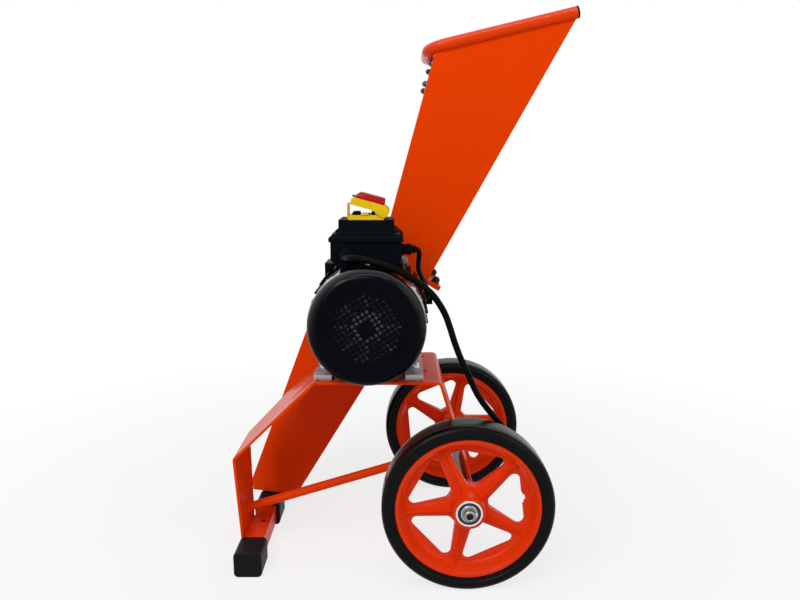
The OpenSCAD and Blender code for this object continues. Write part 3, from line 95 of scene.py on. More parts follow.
# node group; an input has a default that tells its kind, or the word for its kind
def newGroup(name, inputs, outputs, treeKind="ShaderNodeTree"):
    tree = bpy.data.node_groups.new(name, treeKind)
    tupleKinds = {3: "Vector", 4: "Color"}
    outKinds = {"Colour": "Color", "Geometry": "Geometry"}
    for label, value in inputs.items():
        word = isinstance(value, str)
        kind = value if word else tupleKinds[len(value)] if isinstance(value, tuple) else "Float"
        socket = tree.interface.new_socket(label, in_out="INPUT", socket_type="NodeSocket" + kind)
        if not word:
            socket.default_value = value
    for label in outputs:
        kind = "NodeSocket" + outKinds.get(label, "Float")
        tree.interface.new_socket(label, in_out="OUTPUT", socket_type=kind)
    return tree, tree.nodes.new("NodeGroupInput").outputs, tree.nodes.new("NodeGroupOutput")


# slow drift of colour and gloss, with a fine grain as height
def makeCoatDrift():
    tree, get, leave = newGroup(
        "coatDrift", {"Colour": (1, 1, 1, 1), "Drift": 0.1, "Patch Scale": 8.0, "Grain Scale": 900.0,
        "Gloss": 0.4, "Gloss Drift": 0.1}, ("Colour", "Roughness", "Height"))
    calc = partial(mathNode, tree)
    place = tree.nodes.new("ShaderNodeTexCoord").outputs["Object"]
    patch = noiseNode(tree, place, get["Patch Scale"], 4.0)
    grain = noiseNode(tree, place, get["Grain Scale"], 2.0)
    swing = calc("MULTIPLY", calc("SUBTRACT", patch, 0.5), 2.0)
    level = calc("ADD", calc("MULTIPLY", swing, get["Drift"]), 1.0)
    toned = addNode(tree, "ShaderNodeHueSaturation", {"Color": get["Colour"], "Value": level})
    fine = calc("MULTIPLY", calc("SUBTRACT", grain, 0.5), get["Gloss Drift"])
    broad = calc("MULTIPLY", swing, calc("MULTIPLY", get["Gloss Drift"], 0.6))
    gloss = calc("ADD", calc("ADD", fine, broad), get["Gloss"], True)
    feed(tree, leave, {"Colour": toned.outputs["Color"], "Roughness": gloss, "Height": grain})
    return tree


# specks of dust on faces turned upwards, and a mask of upward faces that places the painted sheen (a clear
# coat on upper faces)
def makeDustAndSheen():
    tree, get, leave = newGroup(
        "dustAndSheen", {"Colour": (1, 1, 1, 1), "Dust": (0.42, 0.38, 0.34, 1), "Amount": 0.1,
        "Speck Scale": 120.0}, ("Colour", "Upward"))
    calc = partial(mathNode, tree)
    coords = tree.nodes.new("ShaderNodeTexCoord").outputs
    up = addNode(tree, "ShaderNodeSeparateXYZ", {"Vector": coords["Normal"]}).outputs["Z"]
    facing = calc("MULTIPLY_ADD", up, 0.5, True, 0.35)
    specks = noiseNode(tree, coords["Object"], get["Speck Scale"], 6.0, 0.7)
    cloud = noiseNode(tree, coords["Object"], 14.0)
    mask = calc("MULTIPLY", calc("MULTIPLY", specks, cloud), facing)
    mask = calc("MULTIPLY", mask, calc("MULTIPLY", get["Amount"], 3.0), True)
    mixed = addNode(tree, "ShaderNodeMix", {0: mask, 6: get["Colour"], 7: get["Dust"]}, data_type="RGBA")
    # the upward mask serves only to place the painted sheen coat
    feed(tree, leave, {"Colour": mixed.outputs[2], "Upward": calc("MULTIPLY_ADD", up, 1.4, True, 0.25)})
    return tree


# fine lines of a turned or brushed metal, and slow stains
def makeToolMarks():
    tree, get, leave = newGroup(
        "toolMarks", {"Stretch": (40, 900, 900), "Contrast": 0.2, "Gloss": 0.3},
        ("Shade", "Roughness", "Height"))
    calc = partial(mathNode, tree)
    place = tree.nodes.new("ShaderNodeTexCoord").outputs["Object"]
    scaled = addNode(tree, "ShaderNodeVectorMath", {0: place, 1: get["Stretch"]}, operation="MULTIPLY")
    lines = noiseNode(tree, scaled.outputs[0], 1.0, 2.0)
    stain = noiseNode(tree, place, 35.0, 4.0)
    both = calc("ADD", calc("SUBTRACT", lines, 0.5), calc("SUBTRACT", stain, 0.5))
    part = calc("MULTIPLY", both, get["Contrast"])
    gloss = calc("ADD", part, get["Gloss"], True)
    feed(tree, leave, {"Shade": calc("ADD", part, 1.0), "Roughness": gloss, "Height": lines})
    return tree


coatDrift = makeCoatDrift()
dustAndSheen = makeDustAndSheen()
toolMarks = makeToolMarks()


def newFinish(name):
    finish = bpy.data.materials.new(name)
    finish.use_nodes = True
    tree = finish.node_tree
    return finish, tree, tree.nodes["Principled BSDF"]


def groupNode(tree, group, inputs):
    return addNode(tree, "ShaderNodeGroup", inputs, node_tree=group).outputs


def rangeNode(tree, value, low, high, first, last):
    inputs = {"Value": value, "From Min": low, "From Max": high, "To Min": first, "To Max": last}
    return addNode(tree, "ShaderNodeMapRange", inputs).outputs["Result"]


def bumpNode(tree, height, strength, distance):
    inputs = {"Height": height, "Strength": strength, "Distance": distance}
    return addNode(tree, "ShaderNodeBump", inputs).outputs["Normal"]


# paint, plastic and rubber
def coatedFinish(name, colour, gloss, drift, patch, grain, bump, specular=0.5, dust=0.06, glossDrift=0.12):
    finish, tree, shader = newFinish(name)
    coat = groupNode(tree, coatDrift, {
        "Colour": (*colour, 1), "Drift": drift, "Patch Scale": patch, "Grain Scale": grain, "Gloss": gloss,
        "Gloss Drift": glossDrift})
    film = groupNode(tree, dustAndSheen, {"Colour": coat["Colour"], "Amount": dust})
    feed(tree, shader, {
        "Base Color": film["Colour"], "Roughness": coat["Roughness"], "Specular IOR Level": specular,
        "Normal": bumpNode(tree, coat["Height"], bump, 0.0004)})
    # painted sheen: coat weight set by the turn from the viewer and by the upward mask, so highlights land
    # only on upper faces and edges
    if name in sheenCoats:
        weight, first, full = sheenCoats[name]
        facing = tree.nodes.new("ShaderNodeLayerWeight").outputs["Facing"]
        spread = rangeNode(tree, facing, first, full, 0.0, weight)
        paintedSheen = mathNode(tree, "MULTIPLY", spread, film["Upward"], True)
        feed(tree, shader, {"Coat Weight": paintedSheen, "Coat Roughness": 0.07})
    return finish


def metalFinish(name, colour, gloss, contrast, stretch, bump):
    finish, tree, shader = newFinish(name)
    marks = groupNode(tree, toolMarks, {"Stretch": stretch, "Contrast": contrast, "Gloss": gloss})
    shaded = addNode(tree, "ShaderNodeHueSaturation", {"Color": (*colour, 1), "Value": marks["Shade"]})
    feed(tree, shader, {
        "Base Color": shaded.outputs["Color"], "Roughness": marks["Roughness"], "Metallic": 1.0,
        "Normal": bumpNode(tree, marks["Height"], bump, 0.0003)})
    return finish


# colour, gloss, drift, patch scale, grain scale and bump, then specular, dust and gloss drift if not as usual
orange = (0.84, 0.053, 0.0003)
motorBlack = (0.0008, 0.0014, 0.0030)
coats = {"orangePaint": (orange, 0.30, 0.05, 7.0, 700.0, 0.05, 0.05, 0.003),
         "platePaint": (orange, 0.30, 0.05, 7.0, 700.0, 0.05, 0.018, 0.003),
         "tubePaint": (orange, 0.14, 0.05, 9.0, 700.0, 0.02, 0.06, 0.003, 0.03),
         "wheelPlastic": ((0.80, 0.040, 0.001), 0.30, 0.06, 12.0, 1400.0, 0.05, 0.10, 0.008),
         "motorPaint": (motorBlack, 0.30, 0.2, 10.0, 1300.0, 0.06, 0.04, 0.001),
         "cowlPaint": (motorBlack, 0.24, 0.2, 10.0, 1300.0, 0.06, 0.035, 0.001),
         "boxPlastic": ((0.0014, 0.0024, 0.0046), 0.58, 0.2, 14.0, 1900.0, 0.08, 0.04, 0.001),
         "tyreRubber": ((0.0020, 0.0019, 0.0018), 0.24, 0.2, 12.0, 800.0, 0.05, 0.09, 0.002),
         "footRubber": ((0.0050, 0.0058, 0.0068), 0.50, 0.2, 18.0, 1100.0, 0.14, 0.09, 0.01),
         "cordRubber": ((0.0010, 0.0010, 0.0012), 0.46, 0.15, 30.0, 1500.0, 0.02, 0.05, 0.001),
         "flapYellow": ((0.86, 0.560, 0.004), 0.32, 0.05, 25.0, 1700.0, 0.04, 0.12, 0.004),
         "padRed": ((0.42, 0.003, 0.008), 0.20, 0.08, 25.0, 1500.0, 0.04, 0.16, 0.004),
         "buttonGreen": ((0.006, 0.090, 0.028), 0.34, 0.08, 40.0, 1600.0, 0.04, 0.2),
         "boltBlack": ((0.006, 0.006, 0.007), 0.28, 0.25, 60.0, 900.0, 0.08, 0.2),
         "fanPlastic": ((0.40, 0.40, 0.41), 0.42, 0.08, 30.0, 900.0, 0.05),
         "capShell": ((0.50, 0.51, 0.52), 0.36, 0.05, 20.0, 900.0, 0.05)}
# painted sheen: clear coat on upper faces that grows as the surface turns from the viewer; its weight, and
# the turn from the viewer where it starts and where it is full
sheenCoats = {"platePaint": (0.22, 0.55, 0.92), "tubePaint": (0.8, 0.02, 0.15), "cowlPaint": (0.7, 0.04, 0.30)}
# colour, gloss, contrast, stretch of the marks along each axis, bump
metals = {"castAlloy": ((0.40, 0.41, 0.42), 0.42, 0.90, (190, 190, 190), 0.35),
          "boltSteel": ((0.13, 0.13, 0.135), 0.24, 0.25, (300, 300, 300), 0.06),
          "zincSteel": ((0.66, 0.66, 0.65), 0.26, 0.25, (300, 300, 300), 0.06),
          "raceSteel": ((0.80, 0.80, 0.80), 0.18, 0.15, (900, 30, 900), 0.05),
          # near-black steel for the bearing shields: painted shade in the gap between the races
          "shieldPaintedShade": ((0.05, 0.05, 0.055), 0.42, 0.25, (500, 500, 500), 0.08),
          "axleSteel": ((0.30, 0.29, 0.28), 0.38, 0.45, (900, 12, 900), 0.10),
          "rotorIron": ((0.24, 0.24, 0.25), 0.42, 0.35, (500, 20, 500), 0.12),
          "bladeSteel": ((0.62, 0.63, 0.64), 0.24, 0.25, (900, 60, 900), 0.06),
          "coreSteel": ((0.36, 0.37, 0.38), 0.40, 0.5, (30, 2600, 30), 0.20),
          "windingCopper": ((0.52, 0.20, 0.07), 0.34, 0.5, (500, 90, 500), 0.35)}
finishes = {name: coatedFinish(name, *values) for name, values in coats.items()}
finishes.update({name: metalFinish(name, *values) for name, values in metals.items()})
print("finishes made")


# mesh helpers

# an object with the name of its mesh
def linked(mesh):
    piece = bpy.data.objects.new(mesh.name, mesh)
    bpy.context.collection.objects.link(piece)
    return piece


# equal steps of a whole turn
def fullTurn(count, extra=0):
    return [2 * pi * i / count for i in range(count + extra)]


def pick(plan, *keys):
    return [plan[key] for key in keys]


def rounder(mesh, angle):
    mesh.shade_smooth()
    mesh.set_sharp_from_angle(angle=radians(angle))


def placed(piece, body, finish=None, replaces=()):
    if finish is not None:
        piece.data.materials.clear()
        piece.data.materials.append(finishes[finish])
    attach(piece, body)
    if replaces:
        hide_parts(*replaces)
    return piece


# a mesh as the piece in the place of one CAD node, on that node's body
def standsFor(node, mesh, finish=None):
    return placed(linked(mesh), nodeBody[node], finish, [node])


# a CAD node's box in millimetres
def nodeBox(node):
    return [Vector(corner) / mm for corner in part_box(node)]


def cleaned(mesh, angle, dist=1e-6, slivers=False):
    work = bmesh.new()
    work.from_mesh(mesh)
    bmesh.ops.remove_doubles(work, verts=work.verts, dist=dist)
    if slivers:
        bmesh.ops.dissolve_degenerate(work, edges=work.edges, dist=1e-7)
    bmesh.ops.recalc_face_normals(work, faces=work.faces)
    work.to_mesh(mesh)
    work.free()
    rounder(mesh, angle)
    return mesh


# copy of a mesh with doubles merged and the faces of one plane made into one
def flattened(mesh, name, angle):
    work = bmesh.new()
    work.from_mesh(mesh)
    bmesh.ops.remove_doubles(work, verts=work.verts, dist=2e-6)
    bmesh.ops.dissolve_limit(work, angle_limit=radians(angle), verts=work.verts, edges=work.edges)
    fresh = bpy.data.meshes.new(name)
    work.to_mesh(fresh)
    work.free()
    return fresh


def meshFrom(name, verts, faces, angle=32.0, slivers=False):
    mesh = bpy.data.meshes.new(name)
    mesh.from_pydata([tuple(v * mm for v in point) for point in verts], [], faces)
    return cleaned(mesh, angle, slivers=slivers)


# quads between rings of points that follow each other
def ringFaces(rings, count, first=0, closed=False):
    faces = []
    for i in range(rings if closed else rings - 1):
        for k in range(count):
            a, b = i * count + k, i * count + (k + 1) % count
            faces.append(tuple(first + v % (rings * count) for v in (a, b, b + count, a + count)))
    return faces


# the same with both ends closed
def stackFaces(rings, count, first=0):
    last = first + (rings - 1) * count
    return ringFaces(rings, count, first) + [tuple(range(k, k + count)) for k in (first, last)]


# closed outline of radius and height turned about local Z
def turnedMesh(name, outline, steps, angle=30.0):
    verts = [(r * cos(a), r * sin(a), h) for a in fullTurn(steps) for r, h in outline]
    return meshFrom(name, verts, ringFaces(steps, len(outline), closed=True), angle, True)


# both sides of a turned outline, given from the outside inwards
def mirroredTurn(name, half, steps, angle=30.0):
    return turnedMesh(name, half + [(r, -t) for r, t in reversed(half)], steps, angle)


# points of a corner rounded with radius r
def cornerArc(a, b, c, r, steps):
    a, b, c = Vector(a), Vector(b), Vector(c)
    u, v = (a - b).normalized(), (c - b).normalized()
    half = acos(max(-1.0, min(1.0, u.dot(v)))) / 2
    middle = b + (u + v).normalized() * (r / sin(half))
    start = b + u * (r / tan(half))
    turn = 1 if (b - a).cross(c - b) > 0 else -1
    first = atan2(start.y - middle.y, start.x - middle.x)
    sweep = turn * (pi - 2 * half)
    turns = [first + sweep * i / steps for i in range(steps + 1)]
    return [(middle.x + r * cos(t), middle.y + r * sin(t)) for t in turns]


def roundedLoop(points, r, steps=6):
    loop = []
    for i, p in enumerate(points):
        size = r[i] if isinstance(r, list) else r
        loop += cornerArc(points[i - 1], p, points[(i + 1) % len(points)], size, steps) if size > 0 else [p]
    return loop


# what an object shows, as a plain mesh; the object itself is removed
def shownMesh(holder, name):
    mesh = bpy.data.meshes.new_from_object(holder.evaluated_get(bpy.context.evaluated_depsgraph_get()))
    mesh.name = name
    bpy.data.objects.remove(holder)
    return mesh


# flat plate with holes from 2-D loops, edges rounded, thickness along local Z
def plateMesh(name, loops, thick, edge):
    curve = bpy.data.curves.new(name, "CURVE")
    curve.dimensions = "2D"
    curve.fill_mode = "BOTH"
    curve.extrude = (thick / 2 - edge) * mm
    curve.bevel_depth = edge * mm
    curve.bevel_resolution = 3
    curve.offset = -edge * mm
    for loop in loops:
        spline = curve.splines.new("POLY")
        spline.points.add(len(loop) - 1)
        for point, (x, y) in zip(spline.points, loop):
            point.co = (x * mm, y * mm, 0, 1)
        spline.use_cyclic_u = True
    mesh = shownMesh(linked(curve), name)
    bpy.data.curves.remove(curve)
    return cleaned(mesh, 40.0, 2e-6)


# round bar swept along points, ends closed
def sweptMesh(name, points, radius, sides, wobble=None):
    verts, side, last = [], None, len(points) - 1
    for i, p in enumerate(points):
        along = (points[min(i + 1, last)] - points[max(i - 1, 0)]).normalized()
        if side is None:
            side = along.cross(Vector((0, 0, 1)) if abs(along.z) < 0.9 else Vector((0, 1, 0)))
        side = (side - along * side.dot(along)).normalized()
        other = along.cross(side)
        r = radius if wobble is None else radius * wobble(i)
        verts += [p + r * (side * cos(a) + other * sin(a)) for a in fullTurn(sides)]
    return meshFrom(name, verts, stackFaces(len(points), sides), 50.0)


# stack of rounded rectangles: height, low x, high x, low y, high y, corner radius
def loftedMesh(name, sections, steps=5):
    verts = []
    for z, x0, x1, y0, y1, r in sections:
        loop = roundedLoop([(x0, y0), (x1, y0), (x1, y1), (x0, y1)], r, steps)
        verts += [(x, y, z) for x, y in loop]
    return meshFrom(name, verts, stackFaces(len(sections), len(loop)), 38.0)


def joinedMesh(name, parts, angle=34.0):
    work = bmesh.new()
    for part in parts:
        work.from_mesh(part)
        bpy.data.meshes.remove(part)
    mesh = bpy.data.meshes.new(name)
    work.to_mesh(mesh)
    work.free()
    rounder(mesh, angle)
    return mesh


# smooth curve through given points
def smoothPath(points, each=5):
    pts = [Vector(p) for p in points]
    path = []
    for i in range(len(pts) - 1):
        a, b = pts[max(i - 1, 0)], pts[i]
        c, d = pts[i + 1], pts[min(i + 2, len(pts) - 1)]
        for t in [k / each for k in range(each)]:
            path.append(0.5 * (2 * b + (c - a) * t + (2 * a - 5 * b + 4 * c - d) * t * t
                               + (3 * b - a - 3 * c + d) * t ** 3))
    return path + [pts[-1]]


# two finishes on a mesh, the second on the faces that pass a test
def twoFinishes(mesh, first, second, test):
    mesh.materials.append(finishes[first])
    mesh.materials.append(finishes[second])
    for face in mesh.polygons:
        if test(face.center / mm):
            face.material_index = 1


# a CAD node's own shape with its edges broken
def dressed(node, finish, edge, steps=2, angle=38.0, smooth=32.0):
    mesh = flattened(frame["nodes"][node].data, node + "_dressed", 0.6)
    rounder(mesh, smooth)
    piece = linked(mesh)
    bevel = piece.modifiers.new("brokenEdge", "BEVEL")
    bevel.width = edge * mm
    bevel.segments = steps
    bevel.limit_method = "ANGLE"
    bevel.angle_limit = radians(angle)
    bevel.harden_normals = True
    return placed(piece, nodeBody[node], finish, [node])


def plainNode(node, finish):
    shown = frame["nodes"][node]
    shown.data.materials.clear()
    shown.data.materials.append(finishes[finish])


# matrix that puts local X and Z along two directions at an origin
def turnedFrame(origin, xAxis, zAxis):
    x, z = Vector(xAxis).normalized(), Vector(zAxis).normalized()
    turn = Matrix((x, z.cross(x), z)).transposed().to_4x4()
    return Matrix.Translation(Vector(origin) * mm) @ turn


# main cord and the short link to the safety switch
mainCord = {"diameter": 9.5, "pinLong": 18.5, "route": [
    (-90, -126, 489), (-90, -133, 489), (-88, -143, 489), (-83, -153, 490), (-75, -161, 491),
    (-64, -167, 490), (-50, -170, 487), (-33, -171, 481.5), (-15, -171, 474.5), (2, -170, 465.5),
    (18, -169, 454.5), (32, -167, 442), (43, -165, 428), (53, -162, 410), (60, -159, 391),
    (67, -155, 369), (76, -151, 345), (87, -147, 321), (100, -143, 292), (112, -140, 272),
    (127, -137, 252), (144, -133, 231), (162, -129, 207), (178, -126, 180), (189, -124, 152),
    (195, -123, 131), (197, -123, 118), (197, -123, 112)]}
linkCable = {"diameter": 8.0, "route": [
    (13, -40, 491), (14, -40, 491), (17.5, -40, 489), (19, -39, 482), (18, -35.5, 470), (18, -30, 460),
    (20.5, -20, 451), (24.5, -8, 441), (29, 4, 431), (32.5, 12, 421), (35, 16, 411), (35, 19, 405.5),
    (34.5, 22.5, 403), (34.5, 26, 403)]}


def makePlug():
    plug = dressed("mains_plug", "cordRubber", 1.2, 3)
    plug.data.materials.append(finishes["zincSteel"])
    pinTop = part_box("mains_plug")[0].z + mainCord["pinLong"] * mm
    points = plug.data.vertices
    for face in plug.data.polygons:
        if face.center.z < pinTop and all(points[v].co.z < pinTop + 1 * mm for v in face.vertices):
            face.material_index = 1
    return plug


def makeCords():
    route = smoothPath(mainCord["route"])
    cord = sweptMesh("main_cord", route, mainCord["diameter"] / 2, 18)
    cord = standsFor("mains_cord", cord, "cordRubber")
    makePlug()
    link = sweptMesh("link_cable", smoothPath(linkCable["route"]), linkCable["diameter"] / 2, 16)
    standsFor("interlock_cable", link, "cordRubber")


makeCords()


# wheels; the shoulder has its middle's radius and half width, then its rounding
wheel = {"axle": (88, 127), "half": 172, "tyreR": 127, "tyreHalf": 25, "shoulder": (118, 16, 9),
         "groove": 11.4, "rimR": 107, "rimHalf": 22, "band": 15, "lip": 6, "hubR": 24, "hubHalf": 33,
         "webRim": 3.5, "webHub": 10, "webEdge": 1.4, "spokes": 5, "spokeRim": 16, "spokeHub": 25,
         "windowIn": 31, "windowOut": 81, "corner": 8.5, "nose": 6, "rib": 2.8}
bearing = {"outer": 20, "inner": 8.55, "wide": 12, "shield": (12.0, 16.9)}
# side of the frame, turn of the spokes in degrees, and the window with the valve's step
wheelSides = {"near": (-1, 43, 4), "far": (1, 77, 1)}
wheelFinish = {"rim": "wheelPlastic", "tyre": "tyreRubber"}
valveStep = [(0, -9.5), (2.2, -8.5), (2.2, -5), (4.6, -4), (4.6, 4.5), (1.6, 6), (1.6, 9), (0, 9.5)]


# rounded triangle between two spokes, its outer edge straight; one carries a step for the valve
def windowLoop(turn, notch):
    half = pi / wheel["spokes"]
    inner, outer = wheel["windowIn"], wheel["windowOut"]
    low = (inner * sin(half) - wheel["spokeHub"] / 2) / cos(half)
    high = (outer * sin(half) - wheel["spokeRim"] / 2) / cos(half)
    step = [(outer + x, y) for x, y in valveStep] if notch else []
    flat = [(inner, -low), (outer, -high)] + step + [(outer, high), (inner, low)]
    radii = [wheel["nose"], wheel["corner"]] + [0] * len(step) + [wheel["corner"], wheel["nose"]]
    c, s = cos(turn), sin(turn)
    return [(c * x - s * y, s * x + c * y) for x, y in roundedLoop(flat, radii)]


def wheelFrame(side):
    x, z = wheel["axle"]
    return turnedFrame((x, side * wheel["half"], z), (-side, 0, 0), (0, side, 0))


def circleLoop(r, steps):
    return [(r * cos(a), r * sin(a)) for a in fullTurn(steps)]


# half thickness of the web, which grows from the band towards the hub
def webHalf(r):
    rim = wheel["rimR"] - wheel["band"]
    share = max(0.0, min(1.0, (rim - r) / (rim - wheel["hubR"])))
    return wheel["webRim"] + (wheel["webHub"] - wheel["webRim"]) * share ** 1.5


# web with its windows, thicker towards the hub
def webMesh(name, turns, notchAt):
    half = pi / wheel["spokes"]
    loops = [circleLoop(wheel["rimR"] - wheel["band"] + 3, 96)]
    loops += [windowLoop(turn + half, k == notchAt) for k, turn in enumerate(turns)]
    loops.append(circleLoop(wheel["hubR"] - 3, 48))
    disc = plateMesh(name, loops, 2 * wheel["webRim"], wheel["webEdge"])
    for v in disc.vertices:
        v.co.z *= webHalf(hypot(v.co.x, v.co.y) / mm) / wheel["webRim"]
    return disc


# raised line along a spoke, highest at the hub
def ribMesh(name, turn, face):
    w, rim = wheel["rib"] / 2, wheel["rimR"] - wheel["band"]
    verts = []
    for r, rise in ((wheel["hubR"] - 2, 10.0), (wheel["hubR"] + 12, 6.5), (rim - 16, 4.2), (rim + 3, 6.0)):
        h = webHalf(r)
        for y, z in ((-w - 0.8, h - 1), (w + 0.8, h - 1), (w * 0.6, h + rise), (-w * 0.6, h + rise)):
            verts.append((r * cos(turn) - y * sin(turn), r * sin(turn) + y * cos(turn), face * z))
    return meshFrom(name, verts, stackFaces(4, 4), 30.0)


def rimMesh(name, turnDeg, side, notchAt):
    first = radians(turnDeg if side < 0 else 180 - turnDeg)
    turns = [first + a for a in fullTurn(wheel["spokes"])]
    o, w, lip, web = pick(wheel, "rimR", "rimHalf", "lip", "webRim")
    b = o - wheel["band"]
    band = mirroredTurn(name + "Band", [
        (o, w - 1.4), (o - 0.9, w - 0.2), (o - 2.2, w), (o - lip + 1, w - 0.1), (o - lip - 0.2, w - 1),
        (b + 4, web + 8), (b + 1.4, web + 3.4), (b - 0.6, web + 1.1), (b - 3, web - 0.4),
        (b - 3.4, web - 2)], 128)
    r, h, web = pick(wheel, "hubR", "hubHalf", "webHub")
    bore, seat = bearing["outer"], h - bearing["wide"]
    hub = mirroredTurn(name + "Hub", [
        (r + 5, web - 3), (r + 3.6, web - 0.4), (r + 1.6, web + 2.2), (r + 0.5, web + 6), (r, web + 10),
        (r, h - 1.6), (r - 0.5, h - 0.5), (r - 1.6, h), (bore, h), (bore, seat), (bore - 3, seat)], 72)
    ribs = [ribMesh(name + "Rib", turn, face) for turn in turns for face in (-1, 1)]
    return joinedMesh(name, [webMesh(name + "Disc", turns, notchAt), band, hub] + ribs)


def tyreMesh(name):
    r0, r1, w, g = pick(wheel, "rimR", "tyreR", "tyreHalf", "groove")
    half = [(r0, w - 5), (r0 + 0.4, w - 3.2), (r0 + 2.2, w - 2.2), (r0 + 4.6, w - 2.4), (r0 + 5.4, w - 1.0),
            (r0 + 7.5, w - 0.1)]
    at, out, r = wheel["shoulder"]
    half += [(at + r * sin(a), out + r * cos(a)) for a in map(radians, range(0, 76, 15))]
    half += [(r1 - 0.35, g + 0.8), (r1 - 0.9, g + 0.3), (r1 - 0.9, g - 0.3), (r1 - 0.1, g - 0.8), (r1, 5)]
    return mirroredTurn(name, half, 160, 40.0)


# both ball bearings of a wheel: two races with a recessed shield between them, the shield in near-black steel
# as painted shade
def bearingMesh(name):
    outer, inner, wide, (low, high) = pick(bearing, "outer", "inner", "wide", "shield")
    h = wheel["hubHalf"]
    top = [(outer, -0.7), (outer - 0.6, 0), (high, 0), (high - 0.3, -0.5), (high - 0.5, -1.1),
           (low + 0.2, -1.1), (low, -0.5), (low - 0.4, -0.1), (inner + 0.5, -0.1), (inner, -0.6)]
    ring = [(r, h + t) for r, t in top] + [(r, h - wide - t) for r, t in reversed(top)]
    both = [turnedMesh(name, [(r, face * t) for r, t in ring], 64, 25.0) for face in (-1, 1)]
    mesh = joinedMesh(name, both, 25.0)
    twoFinishes(mesh, "raceSteel", "shieldPaintedShade", lambda p: low < hypot(p.x, p.y) < high)
    return mesh


# stepped axle with a centre hole in each end, painted black inside as painted shade
axleBar = {"middleR": 10, "endR": 8.5, "shoulder": 139, "grooveR": 7.9, "groove": (207.3, 208.7),
           "holeR": 4.8, "holeDeep": 5}


def makeAxle():
    long = nodeBox("axle")[1].y
    r, end, shoulder, hole = pick(axleBar, "middleR", "endR", "shoulder", "holeR")
    groove, (inner, outer) = pick(axleBar, "grooveR", "groove")
    floor = long - axleBar["holeDeep"]
    mesh = mirroredTurn("axle_bar", [
        (r, shoulder - 0.5), (r - 0.5, shoulder), (end, shoulder), (end, inner), (groove, inner),
        (groove, outer), (end, outer), (end, long - 1.2), (end - 1.2, long), (hole + 0.6, long),
        (hole, long - 0.6), (hole, floor), (0, floor - 2)], 48)
    # faces inside the end holes take the black finish: painted shade in the recess
    twoFinishes(mesh, "axleSteel", "boltBlack", lambda p: hypot(p.x, p.y) < hole + 0.1)
    x, z = wheel["axle"]
    mesh.transform(turnedFrame((x, 0, z), (1, 0, 0), (0, -1, 0)))
    standsFor("axle", mesh)


def makeWheels():
    for word, (side, turn, notch) in wheelSides.items():
        name = word + "_wheel_"
        meshes = {"rim": rimMesh(name + "rim", turn, side, notch), "tyre": tyreMesh(name + "tyre"),
                  "bearings": bearingMesh(name + "bearings")}
        for part, mesh in meshes.items():
            mesh.transform(wheelFrame(side))
            standsFor(f"{word}_{part}", mesh, wheelFinish.get(part))
    makeAxle()
    dressed("axle_washers", "zincSteel", 0.3)
    plainNode("circlips", "axleSteel")
    print("wheels made")


makeWheels()


# sheet metal: frame, hopper, housing and chute with their broken edges, and the handle tube
sheetEdges = {"frame_plate": 0.8, "foot_bar": 1.6, "brace_tube": 0.3, "hopper": 0.9, "rotor_housing": 0.9,
              "housing_cover": 0.9, "chute": 0.9}
tubePlan = {"radius": 10, "bend": 32, "tilt": 13.1}


def makeTube():
    low, high = nodeBox("handle_tube")
    r, bend, tilt = tubePlan["radius"], tubePlan["bend"], radians(tubePlan["tilt"])
    near, far = low.y + r, high.y - r
    front = Vector((low.x + r, 0, low.z + r))  # middle of the cross bar
    reach = (high.x - r * sin(tilt) - front.x) / cos(tilt)
    half = [(reach, near), (reach * 0.5, near), (bend, near)]
    half += [(bend - bend * sin(a), near + bend - bend * cos(a)) for a in map(radians, range(9, 91, 9))]
    local = half + [(0, (near + far) / 2)] + [(x, near + far - y) for x, y in reversed(half)]
    points = [front + Vector((x * cos(tilt), y, x * sin(tilt))) for x, y in local]
    standsFor("handle_tube", sweptMesh("handle_bar", points, r, 32), "tubePaint")


def makeSheetMetal():
    for node, edge in sheetEdges.items():
        dressed(node, "platePaint" if node in ("frame_plate", "hopper") else "orangePaint", edge)
    makeTube()
    dressed("tube_caps", "boxPlastic", 2.0, 4)
    print("sheet metal dressed")


makeSheetMetal()


# weld beads laid where the frame's parts meet
weld = {"radius": 2.6, "step": 2.2, "sides": 10, "ringTurns": 28, "proud": 0.8, "frontAxis": (1, 0, 0.05),
        "rearAxis": (0.96, 0, 0.28), "footAcross": (-104, -32)}


def weldBead(name, points):
    path = []
    for a, b in zip(points, points[1:]):
        n = max(2, int((b - a).length / weld["step"]))
        path += [a.lerp(b, i / n) for i in range(n)]
    path.append(points[-1])
    ends = (0, len(path) - 1)

    def wobble(i):
        return (0.5 if i in ends else 1.0) * (0.86 + 0.14 * sin(i * 2.1) + 0.06 * sin(i * 5.3))

    bead = sweptMesh(name, path, weld["radius"], weld["sides"], wobble)
    placed(linked(bead), "chassis", "orangePaint")


def ringPoints(centre, axis, radius):
    axis = Vector(axis).normalized()
    side = axis.cross(Vector((0, 1, 0))).normalized()
    other = axis.cross(side)
    turns = fullTurn(weld["ringTurns"], 1)
    return [Vector(centre) + radius * (side * cos(a) + other * sin(a)) for a in turns]


def makeWelds():
    low, high = nodeBox("brace_tube")
    middle, r = (low.y + high.y) / 2, (high.y - low.y) / 2
    ring = r + weld["proud"]
    front, rear = (low.x + 1.5, middle, low.z + r * 1.02), (high.x - 2, middle, high.z - r * 1.04)
    weldBead("brace_front_weld", ringPoints(front, weld["frontAxis"], ring))
    weldBead("brace_rear_weld", ringPoints(rear, weld["rearAxis"], ring))
    low, high = nodeBox("foot_bar")
    weldBead("foot_bar_weld", [Vector((low.x + 0.5, y, high.z + 0.6)) for y in weld["footAcross"]])
    print("welds laid")


makeWelds()


# Geometry Nodes: sets of bolts, a field of holes, rings of grips

def newGrowth(name, sizes, **extra):
    inputs = {"Geometry": "Geometry", **dict.fromkeys(sizes, "Float"), **extra, "Finish": "Material"}
    return newGroup(name, inputs, ["Geometry"], "GeometryNodeTree")


